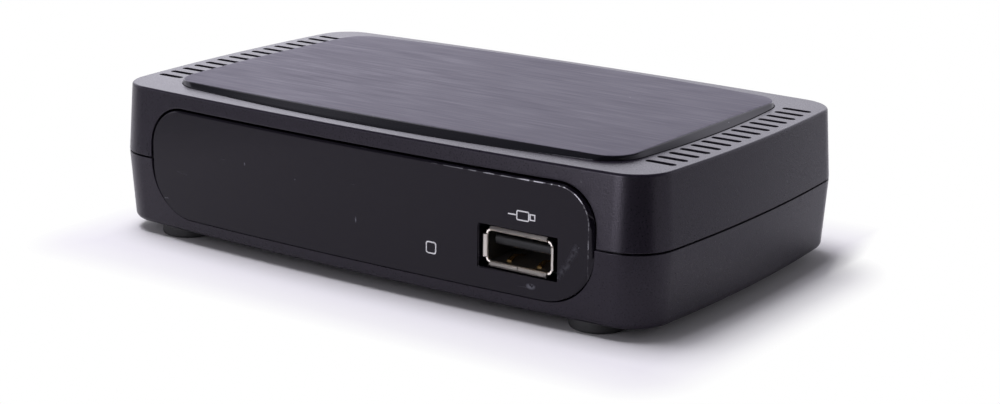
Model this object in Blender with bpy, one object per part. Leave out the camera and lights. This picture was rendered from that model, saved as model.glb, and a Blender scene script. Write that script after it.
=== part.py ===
"""Streaming box: a two-part moulded housing with a raised top plate, a dark front window and a socket row.

Metres, +Z up. X runs along the front, the front faces -Y, and the origin is on the ground, under the
middle of the box. Inside are a main board with its chips and heat sink, the sockets and the fixings.
"""
import math

import bmesh
import bpy
from mathutils import Vector

# Clearances that serve the whole box
GAP = 0.0003                    # between pieces that rest on each other or pass through each other
OVERRUN = 0.004                 # how far a cutter runs past the wall that it cuts
EMBED = 0.0005                  # how far a boss or rib reaches into the wall that carries it

# Steps of the curved stretches
BOW_STEPS = 6
CORNER_STEPS = 6
ROUND_STEPS = 3
SMALL_ROUND = 12
BOSS_STEPS = 16
SMOOTH_ANGLE = math.radians(35)

# Housing, outside, at the parting line
BOX_WIDTH = 0.1201
BOX_DEPTH = 0.0718
FRONT_BOW = 0.00154             # how far the front and back bulge in plan
SIDE_BOW = 0.00113              # how far the sides bulge in plan
CORNER_RADIUS = 0.0082
LOWER_HEIGHT = 0.0131           # underside to parting line
HEADROOM = 0.0033               # above the tallest socket, which sets how high the roof is
TOP_DRAFT = 0.0009              # how far the walls lean in by the top
LOW_DRAFT = 0.0009              # how far the walls lean in by the underside
WALL = 0.0018
ROOF = 0.0024
FLOOR = 0.0020
TOP_ROUND = 0.0008
LOW_ROUND = 0.0011
PARTING_GAP = 0.0003
LIP_RISE = 0.0012               # the lower housing's lip, inside the upper housing
LIP_THICK = 0.0007

# Rubber feet, over the case screws
FOOT_RADIUS = 0.0050
FOOT_SHOW = 0.0020              # how far they hold the box off the ground
FOOT_SINK = 0.0006              # depth of the recess that holds them
FOOT_CHAMFER = 0.0005
FOOT_PLACE_SHARE = 0.7594       # of the half width, each side
FOOT_INSET_Y = 0.0080           # box front to foot centre

# Case screws and their bosses
CASE_SCREW_RADIUS = 0.00125
CASE_HEAD_RADIUS = 0.0026
CASE_HEAD_HEIGHT = 0.0016
CASE_SCREW_LENGTH = 0.0115      # below the head
CASE_BOSS_WALL = 0.0008         # round the sunk head
CASE_BOSS_RISE = 0.0050         # above the floor
UPPER_BOSS_WALL = 0.0013        # round the thread

# Top plate: a bowed foot outline, a straighter top outline and a crown that dips at the corners
PLATE_SIDE_MARGIN = 0.00905     # box side to plate
PLATE_END_MARGIN = 0.0039       # box front to plate
PLATE_FRONT_BOW = 0.0031
PLATE_SIDE_BOW = 0.0012
PLATE_CORNER_RADIUS = 0.0050
PLATE_SIDE_SLOPE = 0.0017       # width of the sloping edge half way along the sides
PLATE_END_SLOPE = 0.00275       # the same at the front and back
PLATE_FACE_FRONT_BOW = 0.0015
PLATE_FACE_SIDE_BOW = 0.0002
PLATE_RISE = 0.00105            # above the rim, away from the corners
PLATE_CORNER_DIP = 0.0004
PLATE_EDGE_ROUND = 0.0003
PLATE_SINK = 0.0010             # depth of the recess in the roof
PLATE_RING_SHARES = (0.8, 0.5)  # rings of the crowned face, as shares of its outline

# Vent slots beside the top plate
VENT_COUNT = 15
VENT_PITCH = 0.00338
VENT_WIDTH = 0.0012
VENT_OUTER_MARGIN = 0.00275     # box side to slot, half way along
VENT_INNER_MARGIN = 0.0007      # slot to plate, half way along
VENT_ROW_BOW = 0.00075          # how far the row's ends turn in
VENT_ROW_SHIFT = 0.0005         # towards the back
VENT_END_STEPS = 4

# Underside air inlets
INLET_COUNT = 6
INLET_PITCH = 0.0042
INLET_LENGTH = 0.0130
INLET_WIDTH = 0.0016
INLET_PLACE_SHARE = 0.42        # of the half width, each side

# Front window
PANEL_SIDE_MARGIN = 0.01165     # box side to window end
PANEL_TOP_MARGIN = 0.00305      # rim of the top to window top
PANEL_LOW_MARGIN = 0.00265      # underside to window bottom
PANEL_TOP_RADIUS = 0.0072
PANEL_LOW_RADIUS = 0.0094
PANEL_RECESS = 0.00035
PANEL_EDGE_ROUND = 0.0006
PANEL_END_GAP = 0.0004
PANEL_HEAD_GAP = 0.0005
PANEL_SILL_GAP = 0.00035
EAR_REACH = 0.0022              # ears that hold the window's ends behind the wall
EAR_ROOT = 0.0010
EAR_HEIGHT = 0.0080
EAR_THICK = 0.0008
EAR_DROP = 0.0006               # behind the thickest part of the wall
POST_CLEAR = 0.0025             # port to the post behind the window
POST_WIDTH = 0.0030
POST_THICK = 0.0013
POST_TOP_SHARE = 0.7            # of the room from floor to parting line

# Rear panel, sliding in a grooved frame
REAR_BOSS_MARGIN = 0.0001       # frame opening to the boss beside it
REAR_SILL = 0.0015              # floor to opening
REAR_HEAD = 0.0021              # opening to roof
REAR_PANEL_THICK = 0.0012
REAR_RECESS = 0.0027
REAR_GROOVE = 0.0013
REAR_FRAME_WALL = 0.0010
REAR_FRAME_REACH = 0.0022       # beyond the opening, each side

# Main board
STANDOFF_RISE = 0.0030
STANDOFF_RADIUS = 0.0026
BOARD_THICK = 0.0016
BOARD_INSET_X = 0.0070
BOARD_INSET_Y = 0.0054
BOARD_NOTCH_CLEAR = 0.0005
BOARD_SCREW_INSET = 0.0042      # board side to screw
BOARD_SCREW_SHARE = 0.43        # of the board's half depth
BOARD_SCREW_RADIUS = 0.0010
BOARD_HEAD_RADIUS = 0.0022
BOARD_HEAD_HEIGHT = 0.0013
BOARD_SCREW_LENGTH = 0.0050

# Serial port in front
PORT_WIDTH = 0.0125             # inside the shell
PORT_HEIGHT = 0.00512
PORT_SHEET = 0.0003
PORT_DEPTH = 0.0140
PORT_CORNER = 0.0009
PORT_LIP_LENGTH = 0.0009
PORT_LIP_FLARE = 0.0005
PORT_LIP_MARGIN = 0.0009        # from the shell's corner to the flared lip
TONGUE_WIDTH = 0.0111
TONGUE_THICK = 0.0018
TONGUE_SET_BACK = 0.0016
TONGUE_BLOCK_DEPTH = 0.0032
CONTACT_WIDTH = 0.0009
CONTACT_THICK = 0.00025
CONTACT_SET_BACK = 0.0008
CONTACT_PLACE_SHARES = (-0.28, -0.08, 0.08, 0.28)   # of the port's width
PORT_BOSS_CLEAR = 0.0017        # the port's flared mouth to the case boss beside it
PORT_SIDE_CLEAR = 0.00065       # flared lip to the window's cut-out
PORT_HEAD_CLEAR = 0.0004

# Socket row at the back
SOCKET_PROUD = 0.0007           # how far the sockets pass the rear panel
VIDEO_WIDTH = 0.0140            # inside the shell
VIDEO_HEIGHT = 0.0045
VIDEO_WAIST_INSET = 0.0017      # each side of the narrow edge
VIDEO_SIDE_HEIGHT = 0.0029
VIDEO_SHEET = 0.0004
VIDEO_DEPTH = 0.0113
VIDEO_TONGUE_CLEAR = 0.0010     # each side, inside the shell
VIDEO_TONGUE_THICK = 0.0010
VIDEO_TONGUE_SET_BACK = 0.0015
VIDEO_BLOCK_DEPTH = 0.0028
NETWORK_WIDTH = 0.0160
NETWORK_HEIGHT = 0.0131
NETWORK_DEPTH = 0.0160
NETWORK_SHEET = 0.0007
NETWORK_MOUTH_WIDTH = 0.0118
NETWORK_MOUTH_HEIGHT = 0.0068
NETWORK_MOUTH_DEPTH = 0.0125
NETWORK_LATCH_WIDTH = 0.0062
NETWORK_LATCH_HEIGHT = 0.0022
NETWORK_MOUTH_RISE = 0.0011     # insert's underside to the latch slot
POWER_WIDTH = 0.0090
POWER_HEIGHT = 0.0108
POWER_DEPTH = 0.0130
POWER_BORE_RADIUS = 0.0031
POWER_BORE_DEPTH = 0.0095
POWER_PIN_RADIUS = 0.0010
POWER_PIN_SET_BACK = 0.0010
SOUND_WIDTH = 0.0068
SOUND_HEIGHT = 0.0062
SOUND_DEPTH = 0.0110
SOUND_COLLAR_RADIUS = 0.0029
SOUND_BORE_RADIUS = 0.0018
SOUND_BORE_DEPTH = 0.0105
OPTICAL_WIDTH = 0.0097
OPTICAL_HEIGHT = 0.0102
OPTICAL_DEPTH = 0.0120
OPTICAL_HOLLOW_WIDTH = 0.0070
OPTICAL_HOLLOW_HEIGHT = 0.0084
OPTICAL_HOLLOW_DEPTH = 0.0092
OPTICAL_HOLLOW_RISE = 0.0009    # body's underside to the hollow
OPTICAL_FRAME = 0.0008          # front frame that the shutter rests against
OPTICAL_MOUTH_WIDTH = 0.0060
OPTICAL_MOUTH_HEIGHT = 0.0055
OPTICAL_SILL = 0.0005           # hollow's floor to the mouth
SHUTTER_PIN_RADIUS = 0.0004
SHUTTER_KNUCKLE_WALL = 0.0004
SHUTTER_PIN_HOLD = 0.0009       # how far the pin reaches into each cheek
SHUTTER_THICK = 0.0008
RESET_WIDTH = 0.0042
RESET_HEIGHT = 0.0036
RESET_DEPTH = 0.0034
RESET_SET_BACK = 0.0020         # rear panel to switch body
RESET_BORE_RADIUS = 0.0010
RESET_BORE_DEPTH = 0.0018
RESET_BUTTON_RADIUS = 0.0007
RESET_TRAVEL = 0.0004
RESET_SHOW = 0.0013             # button beyond the switch body
RESET_HOLE_RADIUS = 0.0010

# Chips and parts on the board; places are shares of the board's half width and half depth
PROCESSOR_SIDE = 0.0170
PROCESSOR_THICK = 0.0014
PROCESSOR_PLACE_SHARE = (-0.11, -0.07)
PAD_SIDE = 0.0150
PAD_THICK = 0.0006
SINK_SIDE = 0.0260
SINK_BASE = 0.0015
SINK_FIN_RISE = 0.0060
SINK_FIN_COUNT = 8
SINK_FIN_THICK = 0.0010
MEMORY_WIDTH = 0.0090
MEMORY_LENGTH = 0.0125
MEMORY_THICK = 0.0011
MEMORY_PLACE_SHARE = (0.27, 0.04)       # the middle between the two chips
MEMORY_SPACE = 0.00214          # between the two chips
FLASH_WIDTH = 0.0120
FLASH_LENGTH = 0.0160
FLASH_THICK = 0.0011
FLASH_PLACE_SHARE = (-0.85, 0.0)
TRANSFORMER_WIDTH = 0.0150
TRANSFORMER_LENGTH = 0.0065
TRANSFORMER_HEIGHT = 0.0055
TRANSFORMER_CLEAR = 0.0020      # network jack to transformer
WIRELESS_WIDTH = 0.0170
WIRELESS_LENGTH = 0.0120
WIRELESS_BOARD = 0.0009
WIRELESS_CAN_RISE = 0.0022
WIRELESS_CAN_MARGIN = 0.0022
WIRELESS_PLACE_SHARE = (-0.62, -0.60)
CAPACITOR_RADIUS = 0.0031
CAPACITOR_HEIGHT = 0.0085
CAPACITOR_CRIMP = 0.0003
CAPACITOR_PLACE_SHARES = ((0.50, 0.42), (0.64, 0.42), (0.50, 0.14))
INDUCTOR_RADIUS = 0.0035
INDUCTOR_HEIGHT = 0.0042
INDUCTOR_RIM = 0.0010
INDUCTOR_WAIST = 0.0007
INDUCTOR_PLACE_SHARE = (0.66, 0.10)
CRYSTAL_WIDTH = 0.0110
CRYSTAL_LENGTH = 0.0045
CRYSTAL_HEIGHT = 0.0033
CRYSTAL_FLANGE = 0.0005
CRYSTAL_CORNER = 0.0020
CRYSTAL_PLACE_SHARE = (0.50, -0.50)
REGULATOR_WIDTH = 0.0060
REGULATOR_LENGTH = 0.0050
REGULATOR_THICK = 0.0015
REGULATOR_PLACE_SHARE = (0.72, -0.22)
RECEIVER_WIDTH = 0.0050
RECEIVER_DEPTH = 0.0028
RECEIVER_HEIGHT = 0.0052
RECEIVER_DOME = 0.0020
RECEIVER_SPACING = 0.0172       # port to receiver
LAMP_WIDTH = 0.0034
LAMP_DEPTH = 0.0036
LAMP_HEIGHT = 0.0052
LAMP_DOME = 0.0015
LAMP_SPACING = 0.0107           # receiver to lamp
FRONT_PART_GAP = 0.0006         # window's back to the receiver and the lamp

# Levels and places that follow from the sizes
UNDERSIDE = FOOT_SHOW
SPLIT = UNDERSIDE + LOWER_HEIGHT
FLOOR_TOP = UNDERSIDE + FLOOR
BOARD_LOW = FLOOR_TOP + STANDOFF_RISE + GAP
BOARD_TOP = BOARD_LOW + BOARD_THICK
SEAT = BOARD_TOP + GAP
CEILING = SEAT + NETWORK_HEIGHT + HEADROOM
RIM = CEILING + ROOF
UPPER_HEIGHT = RIM - SPLIT
LIP_TOP = SPLIT - PARTING_GAP / 2 + LIP_RISE
HALF_WIDTH = BOX_WIDTH / 2
HALF_DEPTH = BOX_DEPTH / 2
FOOT_X = HALF_WIDTH * FOOT_PLACE_SHARE
FOOT_Y = HALF_DEPTH - FOOT_INSET_Y
CORNERS = {"front_left": (-FOOT_X, -FOOT_Y), "front_right": (FOOT_X, -FOOT_Y),
           "rear_left": (-FOOT_X, FOOT_Y), "rear_right": (FOOT_X, FOOT_Y)}
FOOT_SEAT = UNDERSIDE + FOOT_SINK
CASE_HEAD_LOW = FOOT_SEAT + GAP
CASE_HEAD_SEAT = CASE_HEAD_LOW + CASE_HEAD_HEIGHT + GAP
CASE_BOSS_RADIUS = CASE_HEAD_RADIUS + GAP + CASE_BOSS_WALL
CASE_BOSS_TOP = FLOOR_TOP + CASE_BOSS_RISE
CASE_HOLE_RADIUS = CASE_SCREW_RADIUS + GAP
UPPER_BOSS_RADIUS = CASE_HOLE_RADIUS + UPPER_BOSS_WALL
BOARD_HALF_WIDTH = HALF_WIDTH - BOARD_INSET_X
BOARD_HALF_DEPTH = HALF_DEPTH - BOARD_INSET_Y
BOARD_SCREW_X = BOARD_HALF_WIDTH - BOARD_SCREW_INSET
BOARD_SCREW_Y = BOARD_HALF_DEPTH * BOARD_SCREW_SHARE
BOARD_HOLE_RADIUS = BOARD_SCREW_RADIUS + GAP
PORT_OUTER_WIDTH = PORT_WIDTH + 2 * PORT_SHEET
PORT_OUTER_HEIGHT = PORT_HEIGHT + 2 * PORT_SHEET
PORT_MOUTH_WIDTH = PORT_OUTER_WIDTH + 2 * PORT_LIP_FLARE
PORT_MOUTH_HEIGHT = PORT_OUTER_HEIGHT + 2 * PORT_LIP_FLARE
PORT_Z = SEAT + PORT_OUTER_HEIGHT / 2
PANEL_HALF_WIDTH = HALF_WIDTH - PANEL_SIDE_MARGIN
PANEL_THICK = WALL + EAR_DROP + EAR_THICK - PANEL_RECESS
PORT_X = FOOT_X - UPPER_BOSS_RADIUS - PORT_BOSS_CLEAR - PORT_MOUTH_WIDTH / 2
POST_X = PORT_X - PORT_MOUTH_WIDTH / 2 - POST_CLEAR - POST_WIDTH / 2
RECEIVER_X = PORT_X - RECEIVER_SPACING
LAMP_X = RECEIVER_X - LAMP_SPACING
PLATE_WIDTH = BOX_WIDTH - 2 * PLATE_SIDE_MARGIN
PLATE_DEPTH = BOX_DEPTH - 2 * PLATE_END_MARGIN
PLATE_FACE_WIDTH = PLATE_WIDTH - 2 * PLATE_SIDE_SLOPE
PLATE_FACE_DEPTH = PLATE_DEPTH - 2 * PLATE_END_SLOPE
VENT_LENGTH = PLATE_SIDE_MARGIN - VENT_OUTER_MARGIN - VENT_INNER_MARGIN
VENT_PLACE = HALF_WIDTH - VENT_OUTER_MARGIN - VENT_LENGTH / 2
PANEL_LOW = UNDERSIDE + PANEL_LOW_MARGIN
PANEL_HIGH = RIM - PANEL_TOP_MARGIN
REAR_OPENING_HALF = FOOT_X - CASE_BOSS_RADIUS + REAR_BOSS_MARGIN
REAR_OPENING_LOW = FLOOR_TOP + REAR_SILL
REAR_OPENING_HIGH = CEILING - REAR_HEAD
REAR_FACE = HALF_DEPTH - REAR_RECESS
SOCKET_FACE = REAR_FACE + SOCKET_PROUD
CUT_BACK = HALF_DEPTH - FRONT_BOW - WALL - max(TOP_DRAFT, LOW_DRAFT)


# Materials

def finish(name, colour, roughness, metallic=0.0):
    """A plain Principled material."""
    made = bpy.data.materials.new(name)
    made.use_nodes = True
    shader = made.node_tree.nodes["Principled BSDF"]
    shader.inputs["Base Color"].default_value = (*colour, 1.0)
    shader.inputs["Roughness"].default_value = roughness
    shader.inputs["Metallic"].default_value = metallic
    return made


# Outlines

def heading(angle):
    """Unit vector at an angle."""
    return Vector((math.cos(angle), math.sin(angle)))


def bowed_outline(width, depth, front_bow, side_bow, radius, inset=0.0):
    """Plan outline with bowed sides and round corners, anticlockwise, moved in by inset."""
    half_x = width / 2 - side_bow - radius
    half_y = depth / 2 - front_bow - radius
    spans = [2 * half_x, 2 * half_y] * 2
    bows = [front_bow, side_bow] * 2
    curves = [span * span / (8 * bow) + bow / 2 for span, bow in zip(spans, bows)]
    turns = [math.asin(span / (2 * curve)) for span, curve in zip(spans, curves)]
    corners = [(half_x, -half_y), (half_x, half_y), (-half_x, half_y), (-half_x, -half_y)]
    points = []
    for side in range(4):
        facing = math.radians(90 * side - 90)
        outward = heading(facing)
        middle = outward * (half_y if side % 2 == 0 else half_x)
        centre = middle - outward * (curves[side] - bows[side])
        for step in range(BOW_STEPS + 1):
            angle = facing + turns[side] * (2 * step / BOW_STEPS - 1)
            reach = curves[side] + radius - inset
            points.append(centre + heading(angle) * reach)
        first = facing + turns[side]
        last = facing + math.radians(90) - turns[(side + 1) % 4]
        for step in range(1, CORNER_STEPS):
            angle = first + (last - first) * step / CORNER_STEPS
            points.append(Vector(corners[side]) + heading(angle) * (radius - inset))
    return points


def shell_outline(inset):
    """The housing's outline at the parting line, moved in by inset."""
    return bowed_outline(BOX_WIDTH, BOX_DEPTH, FRONT_BOW, SIDE_BOW, CORNER_RADIUS, inset)


def draft_at(level):
    """How far the wall leans in at a level."""
    if level > SPLIT:
        return TOP_DRAFT * (level - SPLIT) / UPPER_HEIGHT
    return LOW_DRAFT * (SPLIT - level) / LOWER_HEIGHT


def front_drop(across):
    """How far the bowed front has turned back at a distance from the middle."""
    span = BOX_WIDTH - 2 * SIDE_BOW - 2 * CORNER_RADIUS
    curve = span * span / (8 * FRONT_BOW) + FRONT_BOW / 2 + CORNER_RADIUS
    return curve - math.sqrt(curve * curve - across * across)


def round_rectangle(width, height, radius, steps):
    """Rectangle with round corners about the origin, anticlockwise."""
    points = []
    for turn, (side_x, side_y) in enumerate(((1, -1), (1, 1), (-1, 1), (-1, -1))):
        centre = Vector((side_x * (width / 2 - radius), side_y * (height / 2 - radius)))
        for step in range(steps + 1):
            angle = math.radians(90 * (turn - 1) + 90 * step / steps)
            points.append(centre + heading(angle) * radius)
    return points


def rectangle(width, height):
    """Plain rectangle about the origin, anticlockwise."""
    return [Vector((x * width / 2, y * height / 2)) for x, y in ((-1, -1), (1, -1), (1, 1), (-1, 1))]


def grown(points, amount):
    """A convex anticlockwise outline moved outwards by amount."""
    made = []
    for index, point in enumerate(points):
        before = (point - points[index - 1]).normalized()
        after = (points[(index + 1) % len(points)] - point).normalized()
        normal_before = Vector((before.y, -before.x))
        normal_after = Vector((after.y, -after.x))
        bisector = (normal_before + normal_after).normalized()
        made.append(point + bisector * amount / bisector.dot(normal_after))
    return made


def slot_outline(length, width):
    """Slot with round ends along the first axis."""
    points = []
    for turn in (-90, 90):
        centre = Vector((math.copysign((length - width) / 2, -turn), 0))
        for step in range(VENT_END_STEPS + 1):
            angle = math.radians(turn + 180 * step / VENT_END_STEPS)
            points.append(centre + heading(angle) * width / 2)
    return points


def window_outline(end_grow, head_grow, sill_grow):
    """The front window's outline in X and Z, with each lower point under its upper one."""
    half = PANEL_HALF_WIDTH + end_grow
    low = PANEL_LOW - sill_grow
    high = PANEL_HIGH + head_grow
    high_radius = PANEL_TOP_RADIUS + end_grow
    low_radius = PANEL_LOW_RADIUS + end_grow
    reach = half - low_radius
    stations = [reach * (2 * step / BOW_STEPS - 1) for step in range(BOW_STEPS + 1)]
    bends = [reach + low_radius * math.sin(math.radians(90 * step / CORNER_STEPS))
             for step in range(1, CORNER_STEPS + 1)]
    stations = [-across for across in reversed(bends)] + stations + bends
    lower = []
    upper = []
    for across in stations:
        into_low = max(0.0, abs(across) - (half - low_radius))
        into_high = max(0.0, abs(across) - (half - high_radius))
        drop_low = low_radius - math.sqrt(max(0.0, low_radius ** 2 - into_low ** 2))
        drop_high = high_radius - math.sqrt(max(0.0, high_radius ** 2 - into_high ** 2))
        lower.append(Vector((across, low + drop_low)))
        upper.append(Vector((across, high - drop_high)))
    return lower + upper[::-1]


# Solid builders: each adds a closed body to a mesh that is being built

def add_loft(mesh, loops, ring=False):
    """Skin loops of equal count; end faces close the two ends, or the last loop meets the first."""
    rows = [[mesh.verts.new(point) for point in loop] for loop in loops]
    count = len(rows[0])
    pairs = list(zip(rows, rows[1:]))
    if ring:
        pairs.append((rows[-1], rows[0]))
    else:
        mesh.faces.new(rows[0][::-1])
        mesh.faces.new(rows[-1])
    for below, above in pairs:
        for index in range(count):
            after = (index + 1) % count
            mesh.faces.new((below[index], below[after], above[after], above[index]))


def at_level(points, level):
    """Lift plan points to a level."""
    return [Vector((point.x, point.y, level)) for point in points]


def at_depth(points, depth, centre_x=0.0, centre_z=0.0):
    """Stand outline points up in X and Z at one Y."""
    return [Vector((point.x + centre_x, depth, point.y + centre_z)) for point in points]


def at_side(points, across):
    """Stand outline points up in Y and Z at one X."""
    return [Vector((across, point[0], point[1])) for point in points]


def add_box(mesh, low, high):
    """A box between two corners."""
    outline = [Vector((low[0], low[1])), Vector((high[0], low[1])),
               Vector((high[0], high[1])), Vector((low[0], high[1]))]
    add_loft(mesh, [at_level(outline, low[2]), at_level(outline, high[2])])


def add_block(mesh, centre, width, length, low, high):
    """A box standing on a level, centred in plan."""
    add_box(mesh, (centre[0] - width / 2, centre[1] - length / 2, low),
            (centre[0] + width / 2, centre[1] + length / 2, high))


def circle(radius, steps, centre=(0.0, 0.0)):
    """Points of a circle."""
    return [Vector(centre) + heading(math.radians(360 * step / steps)) * radius for step in range(steps)]


def add_turned(mesh, centre, profile, steps=2 * SMALL_ROUND):
    """Turn a profile of radius and level about an upright axis."""
    add_loft(mesh, [at_level(circle(radius, steps, centre), level) for radius, level in profile])


def add_turned_lying(mesh, centre, profile, steps=2 * SMALL_ROUND):
    """Turn a profile of radius and Y about an axis that runs along Y."""
    add_loft(mesh, [at_depth(circle(radius, steps, centre), depth) for radius, depth in profile])


def add_rod(mesh, centre, radius, low, high, steps=SMALL_ROUND):
    """Upright cylinder."""
    add_turned(mesh, centre, [(radius, low), (radius, high)], steps)


def add_lying_rod(mesh, centre, radius, near, far, steps=SMALL_ROUND):
    """Cylinder along Y."""
    add_turned_lying(mesh, centre, [(radius, near), (radius, far)], steps)


def add_cross_rod(mesh, centre, radius, across, reach):
    """Cylinder along X, reaching alike to both sides of a place."""
    loop = circle(radius, SMALL_ROUND, centre)
    add_loft(mesh, [at_side(loop, across - reach), at_side(loop, across + reach)])


def add_standing(mesh, outline, near, far, centre=(0.0, 0.0)):
    """Outline in X and Z about a centre, stretched along Y."""
    add_loft(mesh, [at_depth(outline, near, *centre), at_depth(outline, far, *centre)])


def add_profile(mesh, profile, across, width):
    """Side profile in Y and Z, stretched along X to a width."""
    add_loft(mesh, [at_side(profile, across - width / 2), at_side(profile, across + width / 2)])


# Objects

def as_object(name, mesh, look, origin=None):
    """Turn a built mesh into a named object, with its origin where given."""
    bmesh.ops.recalc_face_normals(mesh, faces=mesh.faces)
    if origin is not None:
        bmesh.ops.translate(mesh, verts=mesh.verts, vec=-Vector(origin))
    data = bpy.data.meshes.new(name)
    mesh.to_mesh(data)
    mesh.free()
    data.shade_smooth()
    data.set_sharp_from_angle(angle=SMOOTH_ANGLE)
    made = bpy.data.objects.new(name, data)
    if look is not None:
        data.materials.append(look)
    if origin is not None:
        made.location = origin
    bpy.context.scene.collection.objects.link(made)
    return made


def combine(target, name, mesh, operation):
    """Join a helper mesh to an object, or cut it out, with an exact Boolean."""
    helper = as_object(name, mesh, None)
    helper.hide_render = True
    helper.display_type = "WIRE"
    step = target.modifiers.new(name, "BOOLEAN")
    step.operation = operation
    step.solver = "EXACT"
    step.object = helper
    return target


def cut(target, name, mesh):
    """Cut a helper mesh out of an object."""
    return combine(target, name, mesh, "DIFFERENCE")


def join(target, name, mesh):
    """Join a helper mesh to an object."""
    return combine(target, name, mesh, "UNION")


# Housing

def rounded_levels(level, room, radius, direction):
    """Inset and level pairs of an edge round that ends at a level; direction is 1 up or -1 down."""
    pairs = []
    for step in range(1, ROUND_STEPS + 1):
        angle = math.radians(90 * step / ROUND_STEPS)
        height = level - direction * radius * (1 - math.sin(angle))
        pairs.append((room + radius * (1 - math.cos(angle)), height))
    return pairs


def add_rear_frame(mesh, low, high):
    """Block behind the rear wall, following its bow, that the panel's opening and groove are cut into."""
    half = REAR_OPENING_HALF + REAR_FRAME_REACH
    front = REAR_FACE - REAR_PANEL_THICK - GAP - REAR_FRAME_WALL
    outline = [Vector((-half, front)), Vector((half, front))]
    for step in range(BOW_STEPS + 1):
        across = half * (1 - 2 * step / BOW_STEPS)
        outline.append(Vector((across, HALF_DEPTH - front_drop(across) - WALL + EMBED)))
    add_loft(mesh, [at_level(outline, low), at_level(outline, high)])


def add_rear_opening(mesh):
    """Cutter for the rear opening."""
    add_box(mesh, (-REAR_OPENING_HALF, CUT_BACK - OVERRUN, REAR_OPENING_LOW),
            (REAR_OPENING_HALF, HALF_DEPTH + OVERRUN, REAR_OPENING_HIGH))


def add_rear_groove(mesh):
    """Cutter for the groove that the rear panel slides in."""
    reach = REAR_OPENING_HALF + REAR_GROOVE
    add_box(mesh, (-reach, REAR_FACE - REAR_PANEL_THICK - GAP, REAR_OPENING_LOW - REAR_GROOVE + GAP),
            (reach, REAR_FACE + GAP, REAR_OPENING_HIGH + REAR_GROOVE - GAP))


def add_window_cut(mesh, outline):
    """Cutter for the front window's opening."""
    add_standing(mesh, outline, -HALF_DEPTH - OVERRUN, -CUT_BACK + GAP)


def vent_places():
    """Centres of the vent slots on both sides."""
    places = []
    middle = (VENT_COUNT - 1) / 2
    for side in (-1, 1):
        for index in range(VENT_COUNT):
            share = (index - middle) / middle
            across = VENT_PLACE - VENT_ROW_BOW * share * share
            places.append((side * across, VENT_ROW_SHIFT + (index - middle) * VENT_PITCH))
    return places


def make_upper_housing(look):
    """Lid: walls with draft, roof, rebate for the lower lip, screw bosses, vents and openings."""
    ledge = LIP_TOP + GAP
    rebate = WALL - LIP_THICK - GAP
    rim_low = SPLIT + PARTING_GAP / 2
    levels = [(draft_at(CEILING) + WALL, CEILING), (draft_at(ledge) + WALL, ledge),
              (draft_at(ledge) + rebate, ledge), (rebate, rim_low), (0.0, rim_low),
              (draft_at(RIM - TOP_ROUND), RIM - TOP_ROUND)]
    levels += rounded_levels(RIM, draft_at(RIM - TOP_ROUND), TOP_ROUND, 1)
    mesh = bmesh.new()
    add_loft(mesh, [at_level(shell_outline(inset), level) for inset, level in levels])
    housing = as_object("upper_housing", mesh, look)

    solids = bmesh.new()
    boss_low = CASE_BOSS_TOP + GAP
    for place in CORNERS.values():
        add_rod(solids, place, UPPER_BOSS_RADIUS, boss_low, CEILING + EMBED)
    join(housing, "upper_housing_bosses", solids)
    frame = bmesh.new()
    add_rear_frame(frame, ledge, CEILING + EMBED)
    join(housing, "upper_housing_rear_frame", frame)

    cuts = bmesh.new()
    for place in vent_places():
        outline = [point + Vector(place) for point in slot_outline(VENT_LENGTH, VENT_WIDTH)]
        add_loft(cuts, [at_level(outline, CEILING - EMBED), at_level(outline, RIM + OVERRUN)])
    for place in CORNERS.values():
        hole_top = CASE_HEAD_LOW + CASE_HEAD_HEIGHT + CASE_SCREW_LENGTH + GAP
        add_rod(cuts, place, CASE_HOLE_RADIUS, boss_low - EMBED, hole_top)
    add_window_cut(cuts, window_outline(PANEL_END_GAP, PANEL_HEAD_GAP, PANEL_SILL_GAP))
    add_rear_opening(cuts)
    cut(housing, "upper_housing_cuts", cuts)

    recess = bmesh.new()
    outline = plate_outline(-GAP)
    add_loft(recess, [at_level(outline, RIM - PLATE_SINK), at_level(outline, RIM + OVERRUN)])
    add_rear_groove(recess)
    cut(housing, "upper_housing_recesses", recess)
    return housing


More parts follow.
